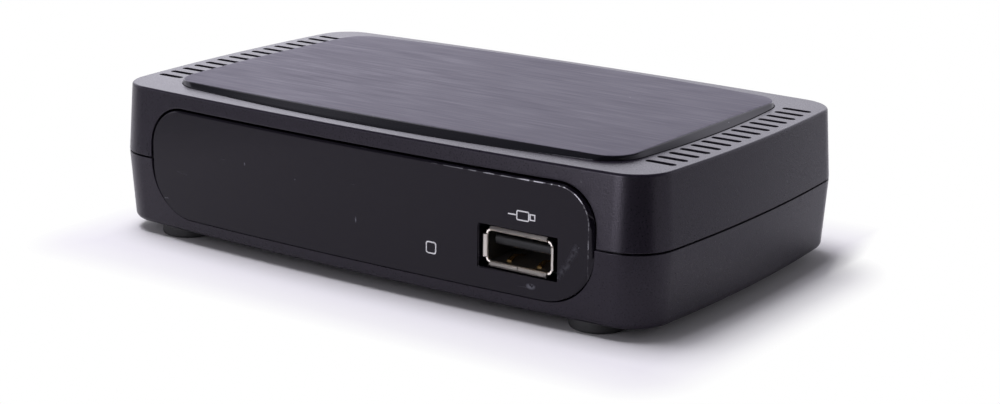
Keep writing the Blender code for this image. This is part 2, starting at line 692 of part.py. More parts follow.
def make_lower_housing(look):
    """Tray: walls with draft, floor, lip, screw bosses, board standoffs, window posts and openings."""
    rim_top = SPLIT - PARTING_GAP / 2
    levels = [(draft_at(FLOOR_TOP) + WALL, FLOOR_TOP), (WALL, rim_top), (WALL, LIP_TOP),
              (WALL - LIP_THICK, LIP_TOP), (WALL - LIP_THICK, rim_top), (0.0, rim_top),
              (draft_at(UNDERSIDE + LOW_ROUND), UNDERSIDE + LOW_ROUND)]
    levels += rounded_levels(UNDERSIDE, draft_at(UNDERSIDE + LOW_ROUND), LOW_ROUND, -1)
    mesh = bmesh.new()
    add_loft(mesh, [at_level(shell_outline(inset), level) for inset, level in levels])
    housing = as_object("lower_housing", mesh, look)

    solids = bmesh.new()
    for place in CORNERS.values():
        add_rod(solids, place, CASE_BOSS_RADIUS, FLOOR_TOP - EMBED, CASE_BOSS_TOP, BOSS_STEPS)
    for place in board_screw_places():
        add_rod(solids, place, STANDOFF_RADIUS, FLOOR_TOP - EMBED, BOARD_LOW - GAP)
    post_top = FLOOR_TOP + (SPLIT - FLOOR_TOP) * POST_TOP_SHARE
    for side in (-1, 1):
        across = side * POST_X
        front = -HALF_DEPTH + PANEL_RECESS + front_drop(POST_X + POST_WIDTH / 2) + PANEL_THICK + GAP
        add_box(solids, (across - POST_WIDTH / 2, front, FLOOR_TOP - EMBED),
                (across + POST_WIDTH / 2, front + POST_THICK, post_top))
    join(housing, "lower_housing_bosses", solids)
    frame = bmesh.new()
    add_rear_frame(frame, FLOOR_TOP - EMBED, rim_top)
    join(housing, "lower_housing_rear_frame", frame)

    cuts = bmesh.new()
    head_hole = CASE_HEAD_RADIUS + GAP
    for place in CORNERS.values():
        add_turned(cuts, place, [(FOOT_RADIUS + GAP, UNDERSIDE - OVERRUN), (FOOT_RADIUS + GAP, FOOT_SEAT),
                                 (head_hole, FOOT_SEAT), (head_hole, CASE_HEAD_SEAT),
                                 (CASE_HOLE_RADIUS, CASE_HEAD_SEAT),
                                 (CASE_HOLE_RADIUS, CASE_BOSS_TOP + OVERRUN)], BOSS_STEPS)
    for place in board_screw_places():
        add_rod(cuts, place, BOARD_HOLE_RADIUS, SEAT - BOARD_SCREW_LENGTH - GAP, BOARD_TOP)
    for side in (-1, 1):
        for index in range(INLET_COUNT):
            place = Vector((side * HALF_WIDTH * INLET_PLACE_SHARE,
                            (index - (INLET_COUNT - 1) / 2) * INLET_PITCH))
            outline = [point + place for point in slot_outline(INLET_LENGTH, INLET_WIDTH)]
            add_loft(cuts, [at_level(outline, UNDERSIDE - OVERRUN), at_level(outline, FLOOR_TOP + EMBED)])
    add_window_cut(cuts, window_outline(PANEL_END_GAP, PANEL_HEAD_GAP, PANEL_SILL_GAP))
    add_rear_opening(cuts)
    cut(housing, "lower_housing_cuts", cuts)

    groove = bmesh.new()
    add_rear_groove(groove)
    cut(housing, "lower_housing_groove", groove)
    return housing


# Covers

def plate_outline(inset):
    """Foot outline of the top plate, moved in by inset."""
    return bowed_outline(PLATE_WIDTH, PLATE_DEPTH, PLATE_FRONT_BOW, PLATE_SIDE_BOW,
                         PLATE_CORNER_RADIUS, inset)


def plate_face_outline(inset):
    """Outline of the top plate's face, moved in by inset."""
    return bowed_outline(PLATE_FACE_WIDTH, PLATE_FACE_DEPTH, PLATE_FACE_FRONT_BOW, PLATE_FACE_SIDE_BOW,
                         PLATE_CORNER_RADIUS, inset)


def crown(points, drop):
    """Lift plan points to the plate's crowned face, less a drop."""
    lifted = []
    for point in points:
        share = (2 * point.x / PLATE_WIDTH) ** 2 * (2 * point.y / PLATE_DEPTH) ** 2
        lifted.append(Vector((point.x, point.y, RIM + PLATE_RISE - drop - PLATE_CORNER_DIP * share)))
    return lifted


def make_top_plate(look):
    """Raised plate in the roof's recess, with a sloping edge and a crowned face."""
    loops = [at_level(plate_outline(0.0), RIM - PLATE_SINK + GAP), at_level(plate_outline(0.0), RIM),
             crown(plate_face_outline(0.0), PLATE_EDGE_ROUND),
             crown(plate_face_outline(PLATE_EDGE_ROUND), 0.0)]
    for share in PLATE_RING_SHARES:
        loops.append(crown([point * share for point in plate_face_outline(PLATE_EDGE_ROUND)], 0.0))
    mesh = bmesh.new()
    add_loft(mesh, loops)
    return as_object("top_plate", mesh, look)


def bowed(points, depth):
    """Stand the window's outline up on the bowed front, at a depth behind its face."""
    return [Vector((point.x, -HALF_DEPTH + PANEL_RECESS + front_drop(point.x) + depth, point.y))
            for point in points]


def make_front_panel(look):
    """Dark window that follows the front's bow, with two ears behind the wall and the port's cut-out."""
    mesh = bmesh.new()
    rows = []
    for inset, depth in ((0.0, PANEL_THICK), (0.0, PANEL_EDGE_ROUND),
                         (PANEL_EDGE_ROUND / 3, PANEL_EDGE_ROUND / 3), (PANEL_EDGE_ROUND, 0.0)):
        loop = bowed(window_outline(-inset, -inset, -inset), depth)
        rows.append([mesh.verts.new(point) for point in loop])
    count = len(rows[0])
    for below, above in zip(rows, rows[1:]):
        for index in range(count):
            after = (index + 1) % count
            mesh.faces.new((below[index], below[after], above[after], above[index]))
    for row in (rows[0], rows[-1]):
        for index in range(count // 2 - 1):
            mesh.faces.new((row[index], row[index + 1], row[count - 2 - index], row[count - 1 - index]))
    panel = as_object("front_panel", mesh, look)

    ears = bmesh.new()
    ear_front = -(HALF_DEPTH - FRONT_BOW - WALL - EAR_DROP)
    for side in (-1, 1):
        across = sorted((side * (PANEL_HALF_WIDTH - EAR_ROOT), side * (PANEL_HALF_WIDTH + EAR_REACH)))
        add_box(ears, (across[0], ear_front, SPLIT - EAR_HEIGHT / 2),
                (across[1], ear_front + EAR_THICK, SPLIT + EAR_HEIGHT / 2))
    join(panel, "front_panel_ears", ears)

    mouth = bmesh.new()
    outline = rectangle(PORT_MOUTH_WIDTH + 2 * PORT_SIDE_CLEAR, PORT_MOUTH_HEIGHT + 2 * PORT_HEAD_CLEAR)
    add_standing(mouth, outline, -HALF_DEPTH - OVERRUN, -HALF_DEPTH + PANEL_THICK + OVERRUN,
                 (PORT_X, PORT_Z))
    cut(panel, "front_panel_port_cut", mouth)
    return panel


# Fixings

def board_screw_places():
    """Where the board is screwed down."""
    return [(side_x * BOARD_SCREW_X, side_y * BOARD_SCREW_Y) for side_x in (-1, 1) for side_y in (-1, 1)]


def make_feet(look):
    """Four rubber feet in their recesses."""
    for name, place in CORNERS.items():
        mesh = bmesh.new()
        add_turned(mesh, place, [(FOOT_RADIUS - FOOT_CHAMFER, 0.0), (FOOT_RADIUS, FOOT_CHAMFER),
                                 (FOOT_RADIUS, FOOT_SEAT - GAP)])
        as_object(name + "_foot", mesh, look)


def make_case_screws(look):
    """Four screws, sunk in the lower bosses and threaded into the upper ones."""
    for name, place in CORNERS.items():
        head_top = CASE_HEAD_LOW + CASE_HEAD_HEIGHT
        mesh = bmesh.new()
        add_turned(mesh, place, [(CASE_HEAD_RADIUS, CASE_HEAD_LOW), (CASE_HEAD_RADIUS, head_top),
                                 (CASE_SCREW_RADIUS, head_top),
                                 (CASE_SCREW_RADIUS, head_top + CASE_SCREW_LENGTH)], SMALL_ROUND)
        as_object(name + "_case_screw", mesh, look)


def make_board_screws(look):
    """Four screws that hold the board to its standoffs."""
    names = ("front_left", "rear_left", "front_right", "rear_right")
    for name, place in zip(names, board_screw_places()):
        mesh = bmesh.new()
        profile = [(BOARD_SCREW_RADIUS, SEAT - BOARD_SCREW_LENGTH), (BOARD_SCREW_RADIUS, SEAT),
                   (BOARD_HEAD_RADIUS, SEAT), (BOARD_HEAD_RADIUS, SEAT + BOARD_HEAD_HEIGHT)]
        add_turned(mesh, place, profile, SMALL_ROUND)
        as_object(name + "_board_screw", mesh, look)


# Board and what stands on it

def make_main_board(look):
    """Board with its corners notched round the case bosses and holes for its screws."""
    notch_x = FOOT_X - CASE_BOSS_RADIUS - BOARD_NOTCH_CLEAR
    notch_y = FOOT_Y - CASE_BOSS_RADIUS - BOARD_NOTCH_CLEAR
    corner = [Vector((notch_x, -BOARD_HALF_DEPTH)), Vector((notch_x, -notch_y)),
              Vector((BOARD_HALF_WIDTH, -notch_y))]
    outline = corner + [Vector((point.x, -point.y)) for point in reversed(corner)]
    outline += [Vector((-point.x, -point.y)) for point in corner]
    outline += [Vector((-point.x, point.y)) for point in reversed(corner)]
    mesh = bmesh.new()
    add_loft(mesh, [at_level(outline, BOARD_LOW), at_level(outline, BOARD_TOP)])
    board = as_object("main_board", mesh, look)
    holes = bmesh.new()
    for place in board_screw_places():
        add_rod(holes, place, BOARD_HOLE_RADIUS, BOARD_LOW - EMBED, BOARD_TOP + EMBED)
    cut(board, "main_board_holes", holes)


def on_board(share):
    """A place on the board from shares of its half width and half depth."""
    return (BOARD_HALF_WIDTH * share[0], BOARD_HALF_DEPTH * share[1])


def make_chip(name, look, place, width, length, thick):
    """A flat chip on the board."""
    mesh = bmesh.new()
    add_block(mesh, place, width, length, SEAT, SEAT + thick)
    return as_object(name, mesh, look)


def make_network_transformer(look, across):
    """Transformer block in front of the network jack."""
    behind = SOCKET_FACE - NETWORK_DEPTH - TRANSFORMER_CLEAR
    mesh = bmesh.new()
    add_box(mesh, (across - TRANSFORMER_WIDTH / 2, behind - TRANSFORMER_LENGTH, SEAT),
            (across + TRANSFORMER_WIDTH / 2, behind, SEAT + TRANSFORMER_HEIGHT))
    as_object("network_transformer", mesh, look)


def make_heat_sink(pad_look, sink_look):
    """Thermal pad on the processor and a finned heat sink on the pad."""
    place = on_board(PROCESSOR_PLACE_SHARE)
    pad_low = SEAT + PROCESSOR_THICK + GAP
    pad = bmesh.new()
    add_block(pad, place, PAD_SIDE, PAD_SIDE, pad_low, pad_low + PAD_THICK)
    as_object("thermal_pad", pad, pad_look)
    base_low = pad_low + PAD_THICK + GAP
    base_top = base_low + SINK_BASE
    pitch = (SINK_SIDE - SINK_FIN_THICK) / (SINK_FIN_COUNT - 1)
    profile = [Vector((-SINK_SIDE / 2, base_low)), Vector((SINK_SIDE / 2, base_low))]
    for index in reversed(range(SINK_FIN_COUNT)):
        left = -SINK_SIDE / 2 + index * pitch
        right = left + SINK_FIN_THICK
        profile += [Vector((right, base_top)), Vector((right, base_top + SINK_FIN_RISE)),
                    Vector((left, base_top + SINK_FIN_RISE)), Vector((left, base_top))]
    profile = profile[:2] + profile[3:-1]
    sink = bmesh.new()
    add_standing(sink, profile, place[1] - SINK_SIDE / 2, place[1] + SINK_SIDE / 2, (place[0], 0.0))
    as_object("heat_sink", sink, sink_look)


def make_wireless_module(look):
    """Small radio board under its shield can."""
    place = Vector(on_board(WIRELESS_PLACE_SHARE))
    board = [point + place for point in rectangle(WIRELESS_WIDTH, WIRELESS_LENGTH)]
    can = [point + place for point in rectangle(WIRELESS_WIDTH - 2 * WIRELESS_CAN_MARGIN,
                                                WIRELESS_LENGTH - 2 * WIRELESS_CAN_MARGIN)]
    top = SEAT + WIRELESS_BOARD
    mesh = bmesh.new()
    add_loft(mesh, [at_level(board, SEAT), at_level(board, top), at_level(can, top),
                    at_level(can, top + WIRELESS_CAN_RISE)])
    as_object("wireless_module", mesh, look)


def make_capacitors(look):
    """Electrolytic capacitors with a crimp above the foot."""
    waist = CAPACITOR_RADIUS - CAPACITOR_CRIMP
    top = SEAT + CAPACITOR_HEIGHT
    profile = [(CAPACITOR_RADIUS, SEAT), (CAPACITOR_RADIUS, SEAT + CAPACITOR_CRIMP * 2),
               (waist, SEAT + CAPACITOR_CRIMP * 3), (CAPACITOR_RADIUS, SEAT + CAPACITOR_CRIMP * 4),
               (CAPACITOR_RADIUS, top - CAPACITOR_CRIMP), (waist, top)]
    for index, share in enumerate(CAPACITOR_PLACE_SHARES, 1):
        mesh = bmesh.new()
        add_turned(mesh, on_board(share), profile, SMALL_ROUND)
        as_object("capacitor_%d" % index, mesh, look)


def make_inductor(look):
    """Drum inductor with a waist."""
    waist = INDUCTOR_RADIUS - INDUCTOR_WAIST
    top = SEAT + INDUCTOR_HEIGHT
    profile = [(INDUCTOR_RADIUS, SEAT), (INDUCTOR_RADIUS, SEAT + INDUCTOR_RIM),
               (waist, SEAT + INDUCTOR_RIM), (waist, top - INDUCTOR_RIM),
               (INDUCTOR_RADIUS, top - INDUCTOR_RIM), (INDUCTOR_RADIUS, top)]
    mesh = bmesh.new()
    add_turned(mesh, on_board(INDUCTOR_PLACE_SHARE), profile, SMALL_ROUND)
    as_object("power_inductor", mesh, look)


def make_crystal(look):
    """Crystal can with its flange."""
    place = Vector(on_board(CRYSTAL_PLACE_SHARE))
    flange = [point + place for point in round_rectangle(CRYSTAL_WIDTH, CRYSTAL_LENGTH, CRYSTAL_CORNER,
                                                         ROUND_STEPS)]
    can = grown(flange, -CRYSTAL_FLANGE)
    step = SEAT + CRYSTAL_FLANGE
    mesh = bmesh.new()
    add_loft(mesh, [at_level(flange, SEAT), at_level(flange, step), at_level(can, step),
                    at_level(can, SEAT + CRYSTAL_HEIGHT)])
    as_object("crystal", mesh, look)


def make_front_part(name, look, across, width, depth, height, dome):
    """A receiver or lamp on the board whose dome looks through the window."""
    back_of_window = -HALF_DEPTH + PANEL_RECESS + front_drop(abs(across) + width / 2) + PANEL_THICK
    tip = back_of_window + FRONT_PART_GAP
    front = tip + dome
    low = SEAT
    mesh = bmesh.new()
    outline = [(front, low), (front + depth, low), (front + depth, low + height), (front, low + height)]
    add_profile(mesh, outline, across, width)
    part = as_object(name, mesh, look)
    bulge = bmesh.new()
    radius = width / 2 - EMBED
    profile = [(radius, front + EMBED)]
    for step in range(ROUND_STEPS):
        angle = math.radians(90 * step / ROUND_STEPS)
        profile.append((radius * math.cos(angle), front - dome * math.sin(angle)))
    add_turned_lying(bulge, (across, low + height - width / 2), profile, SMALL_ROUND)
    join(part, name + "_dome", bulge)


# Sockets

def add_port_tube(mesh, mouth):
    """Bent sheet shell of the port, open at both ends."""
    outer = round_rectangle(PORT_OUTER_WIDTH, PORT_OUTER_HEIGHT, PORT_CORNER, ROUND_STEPS)
    inner = round_rectangle(PORT_WIDTH, PORT_HEIGHT, PORT_CORNER - PORT_SHEET, ROUND_STEPS)
    near = mouth + PORT_LIP_LENGTH
    far = mouth + PORT_DEPTH
    add_loft(mesh, [at_depth(outer, near, PORT_X, PORT_Z), at_depth(outer, far, PORT_X, PORT_Z),
                    at_depth(inner, far, PORT_X, PORT_Z), at_depth(inner, near, PORT_X, PORT_Z)], ring=True)


def add_port_lip(mesh, mouth, wide, side):
    """One flared lip of the port: above or below when wide, else left or right."""
    near = PORT_HEIGHT / 2 if wide else PORT_WIDTH / 2
    span = PORT_OUTER_WIDTH if wide else PORT_OUTER_HEIGHT
    half = span / 2 - PORT_LIP_MARGIN
    loops = []
    bend = mouth + PORT_LIP_LENGTH
    for flare, depth in ((0.0, bend + EMBED), (0.0, bend), (PORT_LIP_FLARE, mouth)):
        low = near + flare
        high = low + PORT_SHEET
        loop = [Vector((-half, side * low)), Vector((half, side * low)),
                Vector((half, side * high)), Vector((-half, side * high))]
        if not wide:
            loop = [Vector((point.y, point.x)) for point in loop]
        loops.append(at_depth(loop, depth, PORT_X, PORT_Z))
    add_loft(mesh, loops)


def make_front_port(shell_look, tongue_look, contact_look):
    """Serial port in the window: flared shell, tongue with its block, and the contacts."""
    mouth = -HALF_DEPTH + PANEL_RECESS + front_drop(PORT_X)
    tube = bmesh.new()
    add_port_tube(tube, mouth)
    shell = as_object("front_port_shell", tube, shell_look)
    lips = bmesh.new()
    for wide in (True, False):
        for side in (-1, 1):
            add_port_lip(lips, mouth, wide, side)
    join(shell, "front_port_lips", lips)

    tip = mouth + TONGUE_SET_BACK
    far = mouth + PORT_DEPTH
    step = far - TONGUE_BLOCK_DEPTH
    half_block = PORT_HEIGHT / 2 - GAP
    profile = [(tip, PORT_Z), (step, PORT_Z), (step, PORT_Z - half_block), (far, PORT_Z - half_block),
               (far, PORT_Z + half_block), (step, PORT_Z + half_block), (step, PORT_Z + TONGUE_THICK),
               (tip, PORT_Z + TONGUE_THICK)]
    tongue = bmesh.new()
    add_profile(tongue, profile, PORT_X, TONGUE_WIDTH)
    as_object("front_port_tongue", tongue, tongue_look)

    for index, share in enumerate(CONTACT_PLACE_SHARES, 1):
        across = PORT_X + share * PORT_WIDTH
        strip = bmesh.new()
        add_box(strip, (across - CONTACT_WIDTH / 2, tip + CONTACT_SET_BACK, PORT_Z - GAP - CONTACT_THICK),
                (across + CONTACT_WIDTH / 2, step - GAP, PORT_Z - GAP))
        as_object("front_port_contact_%d" % index, strip, contact_look)


def make_video_port(across, shell_look, tongue_look):
    """Digital picture and sound port: tapered shell with a thin tongue."""
    height = VIDEO_HEIGHT + 2 * VIDEO_SHEET
    middle = SEAT + height / 2
    half = VIDEO_HEIGHT / 2
    waist = VIDEO_WIDTH / 2 - VIDEO_WAIST_INSET
    inner = [Vector((-waist, -half)), Vector((waist, -half)),
             Vector((VIDEO_WIDTH / 2, half - VIDEO_SIDE_HEIGHT)), Vector((VIDEO_WIDTH / 2, half)),
             Vector((-VIDEO_WIDTH / 2, half)), Vector((-VIDEO_WIDTH / 2, half - VIDEO_SIDE_HEIGHT))]
    outer = grown(inner, VIDEO_SHEET)
    far = SOCKET_FACE - VIDEO_DEPTH
    shell = bmesh.new()
    add_loft(shell, [at_depth(outer, SOCKET_FACE, across, middle), at_depth(outer, far, across, middle),
                     at_depth(inner, far, across, middle), at_depth(inner, SOCKET_FACE, across, middle)],
             ring=True)
    as_object("video_port_shell", shell, shell_look)
    tip = SOCKET_FACE - VIDEO_TONGUE_SET_BACK
    step = far + VIDEO_BLOCK_DEPTH
    half_tongue = VIDEO_TONGUE_THICK / 2
    block_low = middle + half - VIDEO_SIDE_HEIGHT
    block_high = middle + half - GAP
    profile = [(tip, middle - half_tongue), (tip, middle + half_tongue), (step, middle + half_tongue),
               (step, block_high), (far, block_high), (far, block_low), (step, block_low),
               (step, middle - half_tongue)]
    tongue = bmesh.new()
    add_profile(tongue, profile, across, VIDEO_WIDTH - 2 * VIDEO_TONGUE_CLEAR)
    as_object("video_port_tongue", tongue, tongue_look)


def make_network_jack(across, shell_look, insert_look):
    """Network jack: sheet shield round a plastic insert with a stepped mouth."""
    middle = SEAT + NETWORK_HEIGHT / 2
    far = SOCKET_FACE - NETWORK_DEPTH
    outer = rectangle(NETWORK_WIDTH, NETWORK_HEIGHT)
    inner = rectangle(NETWORK_WIDTH - 2 * NETWORK_SHEET, NETWORK_HEIGHT - 2 * NETWORK_SHEET)
    shell = bmesh.new()
    add_loft(shell, [at_depth(outer, SOCKET_FACE, across, middle), at_depth(outer, far, across, middle),
                     at_depth(inner, far, across, middle), at_depth(inner, SOCKET_FACE, across, middle)],
             ring=True)
    as_object("network_jack_shell", shell, shell_look)
    width = NETWORK_WIDTH - 2 * NETWORK_SHEET - 2 * GAP
    height = NETWORK_HEIGHT - 2 * NETWORK_SHEET - 2 * GAP
    body = rectangle(width, height)
    insert = bmesh.new()
    add_standing(insert, body, SOCKET_FACE - GAP, far + GAP, (across, middle))
    made = as_object("network_jack_insert", insert, insert_look)
    latch_low = -height / 2 + NETWORK_MOUTH_RISE
    mouth_low = latch_low + NETWORK_LATCH_HEIGHT
    half_latch = NETWORK_LATCH_WIDTH / 2
    half_mouth = NETWORK_MOUTH_WIDTH / 2
    mouth_high = mouth_low + NETWORK_MOUTH_HEIGHT
    outline = [Vector(point) for point in ((-half_latch, latch_low), (half_latch, latch_low),
                                           (half_latch, mouth_low), (half_mouth, mouth_low),
                                           (half_mouth, mouth_high), (-half_mouth, mouth_high),
                                           (-half_mouth, mouth_low), (-half_latch, mouth_low))]
    mouth = bmesh.new()
    add_standing(mouth, outline, SOCKET_FACE + OVERRUN, SOCKET_FACE - NETWORK_MOUTH_DEPTH, (across, middle))
    cut(made, "network_jack_mouth", mouth)


def make_power_jack(across, body_look, pin_look):
    """Low-voltage inlet with its centre pin."""
    centre = (across, SEAT + POWER_HEIGHT / 2)
    far = SOCKET_FACE - POWER_DEPTH
    bore_end = SOCKET_FACE - POWER_BORE_DEPTH
    mesh = bmesh.new()
    add_standing(mesh, rectangle(POWER_WIDTH, POWER_HEIGHT), SOCKET_FACE, far, centre)
    body = as_object("power_jack_body", mesh, body_look)
    bore = bmesh.new()
    pin_hole = POWER_PIN_RADIUS + GAP
    add_turned_lying(bore, centre, [(POWER_BORE_RADIUS, SOCKET_FACE + OVERRUN),
                                    (POWER_BORE_RADIUS, bore_end), (pin_hole, bore_end),
                                    (pin_hole, far - OVERRUN)])
    cut(body, "power_jack_bore", bore)
    pin = bmesh.new()
    add_lying_rod(pin, centre, POWER_PIN_RADIUS, SOCKET_FACE - POWER_PIN_SET_BACK, far)
    as_object("power_jack_pin", pin, pin_look)


def make_sound_jack(across, look):
    """Analogue sound jack with a round collar."""
    centre = (across, SEAT + SOUND_HEIGHT / 2)
    body_front = REAR_FACE - REAR_PANEL_THICK - GAP
    mesh = bmesh.new()
    add_standing(mesh, rectangle(SOUND_WIDTH, SOUND_HEIGHT), body_front, body_front - SOUND_DEPTH, centre)
    body = as_object("sound_jack", mesh, look)
    collar = bmesh.new()
    add_lying_rod(collar, centre, SOUND_COLLAR_RADIUS, SOCKET_FACE, body_front - EMBED, 2 * SMALL_ROUND)
    join(body, "sound_jack_collar", collar)
    bore = bmesh.new()
    add_lying_rod(bore, centre, SOUND_BORE_RADIUS, SOCKET_FACE + OVERRUN, SOCKET_FACE - SOUND_BORE_DEPTH)
    cut(body, "sound_jack_bore", bore)


def make_optical_port(across, body_look, shutter_look, pin_look):
    """Optical sound port with a dust shutter that swings inwards on a pin."""
    half_hollow = OPTICAL_HOLLOW_WIDTH / 2
    hollow_low = SEAT + OPTICAL_HOLLOW_RISE
    hollow_high = hollow_low + OPTICAL_HOLLOW_HEIGHT
    hollow_front = SOCKET_FACE - OPTICAL_FRAME
    mouth_low = hollow_low + OPTICAL_SILL
    knuckle = SHUTTER_PIN_RADIUS + GAP + SHUTTER_KNUCKLE_WALL
    hinge_y = hollow_front - GAP - knuckle
    hinge_z = hollow_high - GAP - knuckle
    mesh = bmesh.new()
    add_box(mesh, (across - OPTICAL_WIDTH / 2, SOCKET_FACE - OPTICAL_DEPTH, SEAT),
            (across + OPTICAL_WIDTH / 2, SOCKET_FACE, SEAT + OPTICAL_HEIGHT))
    body = as_object("optical_port_body", mesh, body_look)
    mouth = bmesh.new()
    add_box(mouth, (across - OPTICAL_MOUTH_WIDTH / 2, hollow_front - EMBED, mouth_low),
            (across + OPTICAL_MOUTH_WIDTH / 2, SOCKET_FACE + OVERRUN, mouth_low + OPTICAL_MOUTH_HEIGHT))
    cut(body, "optical_port_mouth", mouth)
    hollow = bmesh.new()
    add_box(hollow, (across - half_hollow, hollow_front - OPTICAL_HOLLOW_DEPTH, hollow_low),
            (across + half_hollow, hollow_front, hollow_high))
    cut(body, "optical_port_hollow", hollow)
    hinge = (hinge_y, hinge_z)
    pin_reach = half_hollow + SHUTTER_PIN_HOLD
    hole = bmesh.new()
    add_cross_rod(hole, hinge, SHUTTER_PIN_RADIUS + GAP, across, pin_reach + GAP)
    cut(body, "optical_port_pin_hole", hole)
    pin = bmesh.new()
    add_cross_rod(pin, hinge, SHUTTER_PIN_RADIUS, across, pin_reach)
    as_object("shutter_pin", pin, pin_look)

    half_flap = half_hollow - GAP
    flap_front = hollow_front - GAP
    flap = bmesh.new()
    add_box(flap, (across - half_flap, flap_front - SHUTTER_THICK, hollow_low + GAP),
            (across + half_flap, flap_front, hinge_z))
    shutter = as_object("optical_shutter", flap, shutter_look, (across, hinge_y, hinge_z))
    roll = bmesh.new()
    add_cross_rod(roll, hinge, knuckle, across, half_flap)
    join(shutter, "optical_shutter_roll", roll)
    bore = bmesh.new()
    add_cross_rod(bore, hinge, SHUTTER_PIN_RADIUS + GAP, across, half_flap + OVERRUN)
    cut(shutter, "optical_shutter_bore", bore)


def make_reset_switch(across, body_look, button_look):
    """Reset switch behind a pinhole, with a button that travels inwards."""
    centre = (across, SEAT + RESET_HEIGHT / 2)
    face = REAR_FACE - REAR_PANEL_THICK - RESET_SET_BACK
    mesh = bmesh.new()
    add_standing(mesh, rectangle(RESET_WIDTH, RESET_HEIGHT), face, face - RESET_DEPTH, centre)
    body = as_object("reset_switch", mesh, body_look)
    bore = bmesh.new()
    add_lying_rod(bore, centre, RESET_BORE_RADIUS, face + OVERRUN, face - RESET_BORE_DEPTH)
    cut(body, "reset_switch_bore", bore)
    inner = face - RESET_BORE_DEPTH + RESET_TRAVEL + GAP
    button = bmesh.new()
    add_lying_rod(button, centre, RESET_BUTTON_RADIUS, face + RESET_SHOW, inner)
    as_object("reset_button", button, button_look, (across, inner, centre[1]))


# Rear panel and the row of sockets behind it

SOCKET_WIDTHS = {"network": NETWORK_WIDTH, "video": VIDEO_WIDTH + 2 * VIDEO_SHEET,
                 "optical": OPTICAL_WIDTH, "sound": SOUND_WIDTH, "reset": RESET_WIDTH,
                 "power": POWER_WIDTH}


def socket_row():
    """Centre of each socket, left to right, spaced alike across the rear opening."""
    spare = 2 * REAR_OPENING_HALF - sum(SOCKET_WIDTHS.values())
    space = spare / (len(SOCKET_WIDTHS) + 1)
    places = {}
    edge = -REAR_OPENING_HALF + space
    for name, width in SOCKET_WIDTHS.items():
        places[name] = edge + width / 2
        edge += width + space
    return places


def make_rear_panel(look, places):
    """Flat panel in the frame's groove, with a cut-out for each socket."""
    reach = REAR_OPENING_HALF + REAR_GROOVE - GAP
    low = REAR_OPENING_LOW - REAR_GROOVE + 2 * GAP
    high = REAR_OPENING_HIGH + REAR_GROOVE - 2 * GAP
    inner_face = REAR_FACE - REAR_PANEL_THICK
    mesh = bmesh.new()
    add_box(mesh, (-reach, inner_face, low), (reach, REAR_FACE, high))
    panel = as_object("rear_panel", mesh, look)
    cuts = bmesh.new()
    depths = (inner_face - EMBED, REAR_FACE + EMBED)
    heights = {"network": NETWORK_HEIGHT, "video": VIDEO_HEIGHT + 2 * VIDEO_SHEET,
               "optical": OPTICAL_HEIGHT, "power": POWER_HEIGHT}
    for name, height in heights.items():
        outline = rectangle(SOCKET_WIDTHS[name] + 2 * GAP, height + 2 * GAP)
        add_standing(cuts, outline, *depths, (places[name], SEAT + height / 2))
    rounds = {"sound": (SOUND_COLLAR_RADIUS + GAP, SEAT + SOUND_HEIGHT / 2, 2 * SMALL_ROUND),
              "reset": (RESET_HOLE_RADIUS, SEAT + RESET_HEIGHT / 2, SMALL_ROUND)}
    for name, (radius, middle, steps) in rounds.items():
        add_lying_rod(cuts, (places[name], middle), radius, *depths, steps)
    cut(panel, "rear_panel_cuts", cuts)


